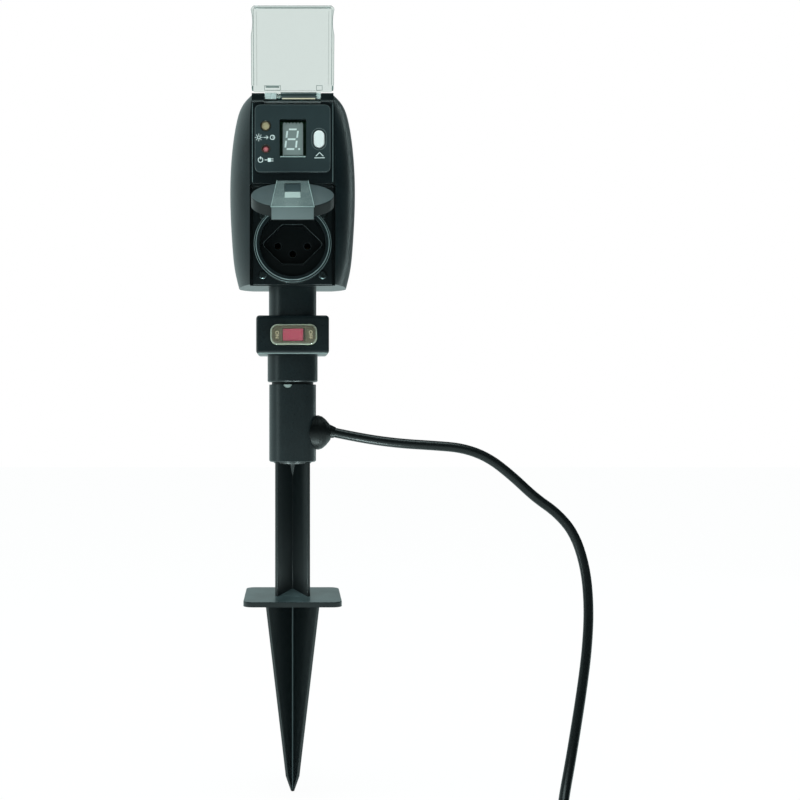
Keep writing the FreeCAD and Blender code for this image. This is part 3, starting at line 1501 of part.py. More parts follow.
def check_and_write():
    """Check every object and piece, then write each piece to its own file."""
    doc.recompute()
    for item in doc.Objects:
        if "Invalid" in item.State or "Error" in item.State:
            raise RuntimeError(f"{item.Name} is in state {item.State}")
    for name, item in nodes.items():
        shape = item.Shape
        if shape.isNull() or not shape.isValid() or not shape.Solids:
            raise RuntimeError(f"{name} has no valid solid")
    for name, item in nodes.items():
        item.Shape.exportStep(f"parts/{name}.step")
        box = item.Shape.BoundBox
        print(
            f"{name}: {len(item.Shape.Solids)} solids, {item.Shape.Volume:.0f} mm3, "
            f"z {box.ZMin:.1f} to {box.ZMax:.1f}",
        )


def main():
    """Build the object from the spike upwards."""
    make_ground_spike()
    collar_top = make_lower_joint()
    make_gland()
    box_top = make_switch_box(collar_top)
    head_base = make_neck(box_top)
    make_head(head_base)
    make_controls()
    make_flap()
    make_socket()
    make_lid()
    make_lead()
    make_wires(head_base)
    check_and_write()


main()
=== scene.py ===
"""Looks of the garden socket: finishes, lead, display, marks and small moulded detail on the CAD frame.

Sizes are in millimetres and angles in degrees where nothing else is said.
"""
from __future__ import annotations

import logging
import math
from collections.abc import Callable, Iterable
from dataclasses import dataclass
from enum import Enum
from functools import cache

import bmesh
import bpy
from mathutils import Matrix, Vector

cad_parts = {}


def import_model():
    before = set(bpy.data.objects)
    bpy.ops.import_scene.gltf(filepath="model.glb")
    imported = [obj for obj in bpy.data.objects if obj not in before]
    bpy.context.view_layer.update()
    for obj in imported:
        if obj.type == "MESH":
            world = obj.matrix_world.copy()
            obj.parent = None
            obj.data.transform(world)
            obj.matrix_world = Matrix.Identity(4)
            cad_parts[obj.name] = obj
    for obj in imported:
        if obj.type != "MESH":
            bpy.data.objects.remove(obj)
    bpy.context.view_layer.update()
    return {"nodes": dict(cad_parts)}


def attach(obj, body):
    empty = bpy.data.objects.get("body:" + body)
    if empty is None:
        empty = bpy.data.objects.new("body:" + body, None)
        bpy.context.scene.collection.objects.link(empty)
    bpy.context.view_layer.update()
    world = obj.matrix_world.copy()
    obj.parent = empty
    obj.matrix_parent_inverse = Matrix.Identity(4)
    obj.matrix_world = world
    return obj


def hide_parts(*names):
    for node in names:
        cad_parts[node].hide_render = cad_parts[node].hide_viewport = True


log = logging.getLogger("garden_socket")
MM = 0.001
Pair = tuple[float, float]
Point = tuple[float, float, float]
Item = bpy.types.Object
Socket = bpy.types.NodeSocket
Tree = bpy.types.NodeTree


def linear(hex_colour: str) -> tuple[float, float, float, float]:
    """Turns an sRGB hex colour into linear values.

    Args:
        hex_colour: six hex digits with a leading hash.

    Returns:
        Linear red, green and blue with an alpha of 1.
    """
    parts = [int(hex_colour[i : i + 2], 16) / 255 for i in (1, 3, 5)]
    values = [p / 12.92 if p <= 0.04045 else ((p + 0.055) / 1.055) ** 2.4 for p in parts]
    return (values[0], values[1], values[2], 1.0)


def add_node(tree: Tree, kind: str, links: dict | None = None, **settings: object) -> bpy.types.Node:
    """Adds a node with its settings and links.

    Args:
        tree: the node tree that the node joins.
        kind: the node's Blender type, without the ShaderNode before it.
        links: input socket name or number to the output socket that feeds it, or to a plain value.
        settings: properties of the node.

    Returns:
        The new node.
    """
    item = tree.nodes.new(f"ShaderNode{kind}")
    for name, setting in settings.items():
        setattr(item, name, setting)
    for socket, source in (links or {}).items():
        if isinstance(source, Socket):
            tree.links.new(source, item.inputs[socket])
        else:
            item.inputs[socket].default_value = source
    return item


def blend(tree: Tree, value: Socket, span: Pair, first: str | Socket, second: str) -> Socket:
    """Mixes two colours along a value.

    Args:
        tree: the material's node tree.
        value: what the mix follows.
        span: the value where it is all the first colour, and where it is all the second.
        first: a hex colour, or a socket that gives one.
        second: a hex colour.

    Returns:
        The mixed colour.
    """
    share = add_node(tree, "MapRange", {"Value": value, "From Min": span[0], "From Max": span[1]})
    start = linear(first) if isinstance(first, str) else first
    links = {"Factor": share.outputs["Result"], 6: start, 7: linear(second)}
    return add_node(tree, "Mix", links, data_type="RGBA").outputs[2]


def fresh_material(name: str) -> tuple[bpy.types.Material, Tree]:
    """Makes an empty node material.

    Args:
        name: the material's name.

    Returns:
        The material and its node tree.
    """
    material = bpy.data.materials.new(name)
    material.use_nodes = True
    material.node_tree.nodes.clear()
    return material, material.node_tree


@dataclass(frozen=True)
class Finish:
    """What all finishes share: patterns of a real size on Object coordinates, and bumps on rounded edges."""

    name: str

    def patches(self, tree: Tree, *sizes: Pair) -> list[Socket]:
        """Lays noise of several sizes.

        Args:
            tree: the material's node tree.
            sizes: the size and the detail of each.

        Returns:
            The noise values.
        """
        place = add_node(tree, "TexCoord").outputs["Object"]
        links = [{"Vector": place, "Scale": 1 / (size * MM), "Detail": detail} for size, detail in sizes]
        return [add_node(tree, "TexNoise", each).outputs["Fac"] for each in links]

    def relief(self, tree: Tree, edge_mm: float, *layers: tuple[Socket, float]) -> Socket:
        """Rounds the edges in the shading and stacks bumps on them.

        Args:
            tree: the material's node tree.
            edge_mm: the radius of the edges, or 0 to leave them.
            layers: the height and the depth of each bump.

        Returns:
            The normal.
        """
        links: dict[str, object] = {}
        if edge_mm:
            edge = add_node(tree, "Bevel", {"Radius": edge_mm * MM}, samples=4)
            links["Normal"] = edge.outputs["Normal"]
        for height, depth in layers:
            links |= {"Height": height, "Distance": depth * MM}
            links["Normal"] = add_node(tree, "Bump", links).outputs["Normal"]
        return links["Normal"]

    def sockets(self, tree: Tree) -> dict[str, object]:
        """Gives the shader's inputs, which each kind of finish sets in its own way."""
        raise NotImplementedError

    @cache
    def material(self) -> bpy.types.Material:
        """Builds the material, once for each finish.

        Returns:
            The material.
        """
        material, tree = fresh_material(self.name)
        shader = add_node(tree, "BsdfPrincipled", self.sockets(tree))
        add_node(tree, "OutputMaterial", {"Surface": shader.outputs["BSDF"]})
        return material


@dataclass(frozen=True)
class MouldedPlastic(Finish):
    """Injection moulded plastic: a fine spark-eroded grain, faint flow clouds and softly broken edges."""

    colour: str
    worn: str
    roughness: float = 0.42
    grain_mm: float = 0.55
    grain_height_mm: float = 0.018
    sink_mm: float = 22.0
    sink_depth_mm: float = 0.22
    edge_mm: float = 0.35
    ior: float = 1.49
    # painted shade: the colour of faces that don't look along toward, the direction the lit faces look
    shade_colour: str = ""
    toward: Point = (0.0, 0.0, 1.0)
    cloud_mm: float = 14.0

    def sockets(self, tree: Tree) -> dict[str, object]:
        """Gives clouds in the colour, grain in the gloss, and sink marks and grain as bumps.

        Args:
            tree: the material's node tree.

        Returns:
            Input name to what feeds it.
        """
        sizes = ((self.cloud_mm, 4.0), (self.grain_mm, 2.0), (self.sink_mm, 1.0))
        clouds, grain, sinks = self.patches(tree, *sizes)
        colour = blend(tree, clouds, (0.3, 0.75), self.colour, self.worn)
        if self.shade_colour:
            # painted light and shade: faces that look along one direction keep the lit colour, and the others
            # get the darker painted shade colour
            normal = add_node(tree, "TexCoord").outputs["Normal"]
            links = {0: normal, 1: self.toward}
            along = add_node(tree, "VectorMath", links, operation="DOT_PRODUCT")
            colour = blend(tree, along.outputs["Value"], (0.9, 0.6), colour, self.shade_colour)
        low, high = self.roughness - 0.05, self.roughness + 0.08
        gloss = add_node(tree, "MapRange", {"Value": grain, "To Min": low, "To Max": high})
        layers = ((sinks, self.sink_depth_mm), (grain, self.grain_height_mm))
        return {
            "Base Color": colour,
            "Roughness": gloss.outputs["Result"],
            "Normal": self.relief(tree, self.edge_mm, *layers),
            "IOR": self.ior,
        }


@dataclass(frozen=True)
class SmoothResin(MouldedPlastic):
    """Polished trim: hardly any grain and no sink marks."""

    grain_height_mm: float = 0.004
    sink_depth_mm: float = 0.0


@dataclass(frozen=True)
class ClearPlastic(Finish):
    """Polished clear polycarbonate or vinyl: tinted in its depth, with faint moulding waves."""

    colour: str
    roughness: float = 0.03
    ior: float = 1.585
    wave_mm: float = 9.0
    wave_height_mm: float = 0.03
    edge_mm: float = 0.3
    transmission: float = 1.0
    painted_wall_colour: str = ""
    wall_transmission: float = 1.0

    def sockets(self, tree: Tree) -> dict[str, object]:
        """Gives the tint, smears in the gloss, and side walls painted in a colour and a clearness of their
        own, for the light and shade seen in them.

        Args:
            tree: the material's node tree.

        Returns:
            Input name to what feeds it.
        """
        (waves,) = self.patches(tree, (self.wave_mm, 1.0))
        low, high = self.roughness, self.roughness * 1.8
        smears = add_node(tree, "MapRange", {"Value": waves, "To Min": low, "To Max": high})
        links = {
            "Base Color": linear(self.colour),
            "Roughness": smears.outputs["Result"],
            "IOR": self.ior,
            "Transmission Weight": self.transmission,
            "Normal": self.relief(tree, self.edge_mm, (waves, self.wave_height_mm)),
        }
        # painted light and shade: faces that don't look along Y take the wall colour and the wall's
        # transmission
        if self.painted_wall_colour:
            span = (0.9, 0.4)
            normal = add_node(tree, "TexCoord").outputs["Normal"]
            across = add_node(tree, "SeparateXYZ", {"Vector": normal})
            flat = add_node(tree, "Math", {0: across.outputs["Y"]}, operation="ABSOLUTE").outputs[0]
            ends = {"Value": flat, "From Min": span[0], "From Max": span[1]}
            ends |= {"To Min": self.transmission, "To Max": self.wall_transmission}
            clear = add_node(tree, "MapRange", ends)
            links["Base Color"] = blend(tree, flat, span, self.colour, self.painted_wall_colour)
            links["Transmission Weight"] = clear.outputs["Result"]
        return links


@dataclass(frozen=True)
class Rubber(Finish):
    """Calendered or extruded rubber: a low sheen with fine dusty mottling."""

    colour: str
    dusty: str
    roughness: float = 0.5
    mottle_mm: float = 1.6
    bump_mm: float = 0.03
    ior: float = 1.52

    def sockets(self, tree: Tree) -> dict[str, object]:
        """Gives a mottled colour, a bump and a soft highlight.

        Args:
            tree: the material's node tree.

        Returns:
            Input name to what feeds it.
        """
        (mottle,) = self.patches(tree, (self.mottle_mm, 5.0))
        return {
            "Base Color": blend(tree, mottle, (0.45, 0.8), self.colour, self.dusty),
            "Roughness": self.roughness,
            "IOR": self.ior,
            "Normal": self.relief(tree, 0.0, (mottle, self.bump_mm)),
        }


@dataclass(frozen=True)
class TurnedMetal(Finish):
    """Turned or stamped metal: fine tool rings that stretch the highlight, with a touch of tarnish."""

    colour: str
    tarnish: str
    roughness: float = 0.3
    ring_mm: float = 0.22
    ring_depth_mm: float = 0.01
    spot_mm: float = 1.4

    def sockets(self, tree: Tree) -> dict[str, object]:
        """Gives tarnish in colour and gloss, and the rings as a bump.

        Args:
            tree: the material's node tree.

        Returns:
            Input name to what feeds it.
        """
        (spots,) = self.patches(tree, (self.spot_mm, 3.0))
        place = add_node(tree, "TexCoord").outputs["Object"]
        # a band of the wave texture is a twentieth of its scale wide
        links = {"Vector": place, "Scale": 0.05 / (self.ring_mm * MM), "Distortion": 1.5}
        rings = add_node(tree, "TexWave", links, wave_type="BANDS", bands_direction="DIAGONAL")
        low, high = self.roughness, self.roughness + 0.2
        gloss = add_node(tree, "MapRange", {"Value": spots, "To Min": low, "To Max": high})
        return {
            "Base Color": blend(tree, spots, (0.45, 0.8), self.colour, self.tarnish),
            "Metallic": 1.0,
            "Roughness": gloss.outputs["Result"],
            "Normal": self.relief(tree, 0.0, (rings.outputs["Fac"], self.ring_depth_mm)),
        }


class Stock(Enum):
    """The finishes that the garden socket is made of, each named for the real material and for the light or
    shade painted into it, where there is some.
    """

    # weatherproof polypropylene, spark-eroded mould: near black with a green cast and a soft sheen
    POLYPROPYLENE = MouldedPlastic("black_polypropylene", "#0D1619", "#131E21", 0.28)
    # the spike is the same plastic: faces that look up, such as its flange, are painted pale for the light
    # from above, and the others near black
    SPIKE = MouldedPlastic("polypropylene_lit_from_above", "#2C3739", "#4C585A", 0.3, shade_colour="#0A1214")
    # the insert lies deep in its ring: painted blacker than the housing for the shade there, and more matt
    INSERT = MouldedPlastic("black_polyamide_painted_shade", "#03080A", "#060C0E", 0.42, ior=1.3)
    # the lid's face that looks up and forward is painted paler for the light from above, so that it reads as
    # dark slate, and its skirt is painted darker for its shade
    LID = MouldedPlastic(
        "lid_polypropylene_painted_light", "#42494B", "#495153", 0.3, ior=1.36, shade_colour="#060A0B",
        toward=(0.0, -0.454, 0.891),
    )
    # the label plate is a film over the frame: a shade lighter, smooth; the same colour is painted as dull
    # highlights round the pin holes and down the spike blade's front
    PLATE = MouldedPlastic(
        "satin_label_film_and_dull_highlight", "#2D383B", "#323E41", 0.3, grain_height_mm=0.008, sink_depth_mm=0.1
    )
    # the lid's band is polished; its colour is painted paler for a broad sheen
    BAND = MouldedPlastic("lid_band_painted_sheen", "#565F5F", "#6C7574", 0.24, grain_height_mm=0.006)
    # plain light grey, satin
    GREY = MouldedPlastic("light_grey_abs", "#9BA3A0", "#A8B0AC", 0.4)
    # the push button: clean white with a satin top
    WHITE = MouldedPlastic("white_abs", "#FBF6F5", "#FDF9F8", 0.38, grain_height_mm=0.006)
    # painted highlight: a pale grey line where light catches the window's lower ledge, the lid band's edges
    # and the lower edge of the switch box
    SILL = SmoothResin("pale_painted_highlight_line", "#9FB0AE", "#AEBDBA", 0.3, grain_height_mm=0.006)
    # black phenolic of the switching parts and the plug: smooth with a clear highlight
    BAKELITE = MouldedPlastic("black_phenolic", "#101415", "#181D1E", 0.28, grain_height_mm=0.006)
    # nylon tie: black with a dull gloss
    TIE = MouldedPlastic("black_nylon_tie", "#141819", "#1D2223", 0.35)
    # green board lacquer over glass cloth
    BOARD = MouldedPlastic("green_glass_epoxy", "#1C4A2C", "#235735", 0.35, grain_height_mm=0.01)
    # varnished iron core: dull dark grey
    FERRITE = MouldedPlastic("varnished_core_iron", "#3A3C3D", "#46494A", 0.45)
    # the display's face: even mid grey
    DISPLAY = MouldedPlastic("display_face_resin", "#8B9290", "#939A98", 0.3, grain_height_mm=0.004)
    # unlit segments: near white
    SEGMENT = MouldedPlastic("segment_resin", "#F2F8F6", "#F8FCFA", 0.35, grain_height_mm=0.004)
    # pad printing: flat white with no edge of its own
    INK = MouldedPlastic(
        "white_pad_ink", "#F2F7F6", "#FAFDFC", 0.5, grain_height_mm=0.004, edge_mm=0.05
    )
    # the switch's print, yellowed by the boot over it
    CREAM_INK = MouldedPlastic(
        "cream_pad_ink", "#FBF6DA", "#FFFBE6", 0.5, grain_height_mm=0.004, edge_mm=0.04
    )
    # seen against white the flap is a pale green-grey sheet; its walls are painted darker for the dark
    # housing seen through them
    FLAP = ClearPlastic("clear_polycarbonate", "#D3DDD9", 0.02, painted_wall_colour="#4F6B68", wall_transmission=0.8)
    # soft vinyl, clear over the rocker; its side walls are painted pale yellow-green and less clear, partly
    # the tint of the thick rim and partly a painted highlight along it
    BOOT = ClearPlastic(
        "clear_vinyl_boot", "#F2F0E4", 0.012, 1.42, wave_mm=5.0, wave_height_mm=0.05, transmission=0.98,
        painted_wall_colour="#EFF5DE", wall_transmission=0.3,
    )
    # dyed acrylic: crimson, a little pink where light leaves it
    ROCKER = ClearPlastic("translucent_red_acrylic", "#F4508C", 0.16, 1.49, transmission=0.1)
    # the lamp's lens: red resin that looks pink, lightened partly for its own scatter and partly as a painted
    # highlight for the glints on it
    LAMP = ClearPlastic("red_epoxy_lens", "#FF8E95", 0.1, 1.54, transmission=0.05)
    # the dome is painted amber and made less clear for the lit gold of the cell under it, which lies in shade
    CELL = ClearPlastic("epoxy_dome_painted_cell_gold", "#EAD2A8", 0.05, 1.54, transmission=0.25)
    # the lenses sit in dark brown collars
    COLLAR = SmoothResin("brown_lens_collar", "#33291D", "#463828", 0.3)
    # the switch's bezel under the boot looks olive grey
    BEZEL = MouldedPlastic("olive_switch_bezel", "#666B5B", "#6F7464", 0.4)
    # painted highlights: thin edges of black plastic that catch the light, bright and less bright
    RIM = SmoothResin("bright_lit_plastic_rim", "#7F8E8F", "#8A999A", 0.3)
    EDGE = SmoothResin("lit_plastic_edge", "#616A6B", "#6B7475", 0.3)
    # the flap's rod: dark grey with a gloss
    ROD = SmoothResin("dark_rod_resin", "#2E3839", "#364142", 0.16)
    # painted highlight: the streak of light that shines through under the rod, cream with an orange cast
    STREAK = SmoothResin("rod_painted_highlight_streak", "#F4DFC0", "#F8E9D2", 0.3)
    # painted lines where light runs along the flap's walls look grey green; the same colour paints the shade
    # at the walls' foot and the outlines and shade by the lugs
    WALL = ClearPlastic("painted_wall_light_and_shade", "#93A9A5", 0.1, 1.2, transmission=0.6)
    # the lugs are thick and look milky
    LUG = ClearPlastic("milky_clear_lug", "#E9F1EF", 0.2, 1.3, transmission=0.35)
    # the lead's sheath: black with a low sheen and fine dust
    CORD = Rubber("black_rubber_cord", "#0C1011", "#14191A", 0.34, mottle_mm=1.1, ior=1.36)
    # the gland and the seals: blacker and duller than the lead
    GLAND = Rubber("black_gland_rubber", "#070A0B", "#0D1112", 0.4, ior=1.34)
    # wire sleeves in their three colours, with a soft sheen
    BROWN = Rubber("brown_wire_sleeve", "#4A2A18", "#5A3421", 0.4)
    BLUE = Rubber("blue_wire_sleeve", "#1F4E8C", "#275A9C", 0.4)
    GREEN = Rubber("green_yellow_wire_sleeve", "#5C8A22", "#8FA028", 0.4, mottle_mm=4.0)
    # blackened screws: only their edges and slots glint
    SCREW = TurnedMetal("blackened_steel_screw", "#5A6364", "#343B3C", 0.2)
    # the switch's blades: bright yellow metal
    BRASS = TurnedMetal("turned_brass", "#B99752", "#8E733E", 0.28)
    # the socket's sleeves sit in the dark: tarnish, and painted shade for the dark pin holes, darken their
    # brass
    DARK_BRASS = TurnedMetal("tarnished_brass_painted_shade", "#4E4228", "#35301F", 0.4)
    # the plug's pins: pale and mirror-like with fine rings
    NICKEL = TurnedMetal("nickel_plated_brass", "#C4C2BA", "#A7A59E", 0.2)
    # the light cell's disc under its dome
    GOLD = TurnedMetal("gold_plated_cell", "#C9A768", "#8C6C3C", 0.25)


class Body(Enum):
    """The moving and fixed groups of the frame."""

    COLUMN = "column"
    FLAP = "flap"
    LID = "lid"
    BUTTON = "button"
    ROCKER = "rocker"


def dress(item: Item, stock: Stock) -> None:
    """Puts a finish on every slot of an object.

    Args:
        item: the object.
        stock: its finish.
    """
    if not item.material_slots:
        item.data.materials.append(None)
    for place in item.material_slots:
        place.material = stock.value.material()


NODE_STOCK: dict[Stock, tuple[str, ...]] = {
    Stock.POLYPROPYLENE: (
        "sleeve", "lower_collar", "switch_box", "switch_box_cover", "neck_tube", "front_shell",
        "rear_shell", "control_frame", "socket_frame", "gland_nut",
    ),
    Stock.SPIKE: ("ground_spike",),
    Stock.BEZEL: ("switch_body",),
    Stock.INSERT: ("socket_insert",),
    Stock.PLATE: ("label_plate",),
    Stock.LID: ("socket_lid",),
    Stock.GREY: ("lock_tab", "tact_switch"),
    Stock.GOLD: ("photocell",),
    Stock.GLAND: ("joint_ring", "cord_gland", "socket_gasket", "lid_seal"),
    Stock.SCREW: ("switch_box_screws", "shell_screws", "socket_screws", "contact_screws", "lid_hinge_pin"),
    Stock.BRASS: ("switch_blades",),
    Stock.DARK_BRASS: ("live_contact", "neutral_contact", "earth_contact"),
    Stock.NICKEL: ("plug_pins",),
    Stock.BAKELITE: ("relay", "capacitor", "plug_body"),
    Stock.FERRITE: ("transformer",),
    Stock.BOARD: ("control_board",),
    Stock.DISPLAY: ("display",),
    Stock.WHITE: ("push_button",),
    Stock.FLAP: ("clear_flap",),
    Stock.BOOT: ("switch_boot",),
    Stock.ROCKER: ("rocker",),
    Stock.LAMP: ("power_lamp",),
    Stock.CELL: ("photocell_lens",),
    Stock.CORD: ("mains_cord", "mains_cord_coil", "plug_boot"),
    Stock.TIE: ("cord_tie",),
    Stock.BROWN: ("live_wire",),
    Stock.BLUE: ("neutral_wire",),
    Stock.GREEN: ("earth_wire",),
}


def deselect() -> None:
    """Deselects every object."""
    bpy.ops.object.select_all(action="DESELECT")


def only(item: Item) -> None:
    """Makes an object the one selected and active object."""
    deselect()
    item.select_set(True)
    bpy.context.view_layer.objects.active = item


def settle(item: Item) -> None:
    """Applies an object's place, turn and scale to its mesh."""
    only(item)
    bpy.ops.object.transform_apply(location=True, rotation=True, scale=True)


def block(name: str, low: Point, high: Point) -> Item:
    """Adds a cube primitive between two corners.

    Args:
        name: the new object's name.
        low: lowest corner.
        high: highest corner.

    Returns:
        The block, with its place in its mesh.
    """
    deselect()
    middle = [(a + b) / 2 * MM for a, b in zip(low, high)]
    bpy.ops.mesh.primitive_cube_add(size=1, location=middle)
    item = bpy.context.active_object
    item.name = name
    item.scale = [(b - a) * MM for a, b in zip(low, high)]
    settle(item)
    return item


def disc(name: str, centre: Point, radius: float, depth: float, sides: int = 32, along: str = "y") -> Item:
    """Adds a cylinder primitive.

    Args:
        name: the new object's name.
        centre: its centre.
        radius: its radius.
        depth: its length.
        sides: its number of sides.
        along: the axis it lies along.

    Returns:
        The cylinder, with its place in its mesh.
    """
    deselect()
    bpy.ops.mesh.primitive_cylinder_add(
        vertices=sides,
        radius=radius * MM,
        depth=depth * MM,
        location=[v * MM for v in centre],
        rotation=(math.pi / 2, 0, 0) if along == "y" else (0, math.pi / 2, 0),
    )
    item = bpy.context.active_object
    item.name = name
    settle(item)
    return item


def round_curve(name: str, line: list[Point], width: float, steps: int, kind: str) -> Item:
    """Draws a round curve along a line.

    Args:
        name: the new object's name.
        line: its points.
        width: its thickness.
        steps: the steps of its section.
        kind: the type of its spline.

    Returns:
        The curve.
    """
    data = bpy.data.curves.new(name, "CURVE")
    data.dimensions = "3D"
    data.bevel_depth = width / 2 * MM
    data.bevel_resolution = steps
    data.use_fill_caps = True
    spline = data.splines.new(kind)
    spline.points.add(len(line) - 1)
    for point, place in zip(spline.points, line):
        point.co = (*[v * MM for v in place], 1.0)
    item = bpy.data.objects.new(name, data)
    bpy.context.collection.objects.link(item)
    return item


def bead(name: str, line: list[Point], width: float, closed: bool = False) -> Item:
    """Lays a thin round bead along a line.

    Args:
        name: the new object's name.
        line: its points.
        width: its thickness.
        closed: whether it comes back to its start.

    Returns:
        The bead as a mesh.
    """
    item = round_curve(name, line, width, 2, "POLY")
    item.data.splines[0].use_cyclic_u = closed
    only(item)
    bpy.ops.object.convert(target="MESH")
    bpy.ops.object.shade_smooth_by_angle(angle=math.radians(50))
    return item


def loop(
    name: str, steps: int, width: float, middle: Point, radius: float, straight: Pair = (0.0, 0.0)
) -> Item:
    """Lays a closed bead that faces the front: a circle, an oblong or a rectangle with round corners.

    Args:
        name: the new object's name.
        steps: the steps of each quarter of a turn.
        width: its thickness.
        middle: its centre.
        radius: the radius of the circle or the corners.
        straight: half the length of its straight parts, across and up.

    Returns:
        The bead as a mesh.
    """
    x, y, z = middle
    line = []
    for n, (right, up) in enumerate(((1, 1), (-1, 1), (-1, -1), (1, -1))):
        for k in range(steps + 1):
            angle = math.pi / 2 * (n + k / steps)
            across = x + right * straight[0] + radius * math.cos(angle)
            line.append((across, y, z + up * straight[1] + radius * math.sin(angle)))
    # quarters with nothing straight between them share a point
    line = [point for n, point in enumerate(line) if math.dist(point, line[n - 1]) > 1e-6]
    return bead(name, line, width, closed=True)


def pick(item: Item, where: Callable[[bmesh.types.BMFace], bool]) -> None:
    """Enters edit mode with only the faces selected that a test accepts.

    Args:
        item: the mesh object.
        where: says whether a face is selected.
    """
    only(item)
    bpy.ops.object.mode_set(mode="EDIT")
    bpy.ops.mesh.select_all(action="DESELECT")
    bpy.ops.mesh.select_mode(type="FACE")
    mesh = bmesh.from_edit_mesh(item.data)
    for face in mesh.faces:
        face.select_set(where(face))
    bmesh.update_edit_mesh(item.data)


def leave() -> None:
    """Leaves edit mode."""
    bpy.ops.object.mode_set(mode="OBJECT")


def soften(item: Item, width: float, segments: int = 3) -> Item:
    """Rounds the edges of a piece with a bevel, and shades it smooth.

    Args:
        item: the mesh object.
        width: the bevel's width.
        segments: its steps.

    Returns:
        The same object.
    """
    only(item)
    bevel = item.modifiers.new("soft_edges", "BEVEL")
    bevel.width = width * MM
    bevel.segments = segments
    bevel.limit_method = "ANGLE"
    bpy.ops.object.modifier_apply(modifier=bevel.name)
    bpy.ops.object.shade_smooth_by_angle(angle=math.radians(35))
    return item


def join(name: str, pieces: list[Item]) -> Item:
    """Joins pieces of one finish into one object.

    Args:
        name: the joined object's name.
        pieces: the objects to join.

    Returns:
        The joined object.
    """
    deselect()
    for piece in pieces:
        piece.select_set(True)
    bpy.context.view_layer.objects.active = pieces[0]
    if len(pieces) > 1:
        bpy.ops.object.join()
    pieces[0].name = name
    pieces[0].data.name = name
    return pieces[0]


class Assembly:
    """A sub-assembly that dresses its pieces and sets them on their bodies."""

    def finish(
        self, item: Item, stock: Stock, slot: str = "black_plastic", body: Body = Body.COLUMN
    ) -> Item:
        """Gives a piece its finish and its body.

        Args:
            item: the piece.
            stock: its finish.
            slot: the record's material slot it belongs to; not used.
            body: the body that carries it.

        Returns:
            The same piece.
        """
        dress(item, stock)
        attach(item, body.value)
        log.info("%s: %s on %s", item.name, stock.name.lower(), body.value)
        return item

    def hang(self, item: Item, axis: Pair, degrees: float) -> Item:
        """Moves a piece from its body's own frame, whose origin is the hinge, to the photographed pose.

        Args:
            item: the piece.
            axis: the hinge's place in Y and Z.
            degrees: its turn about X.

        Returns:
            The same piece.
        """
        place = Matrix.Translation((0, axis[0] * MM, axis[1] * MM))
        item.data.transform(place @ Matrix.Rotation(math.radians(degrees), 4, "X"))
        return item


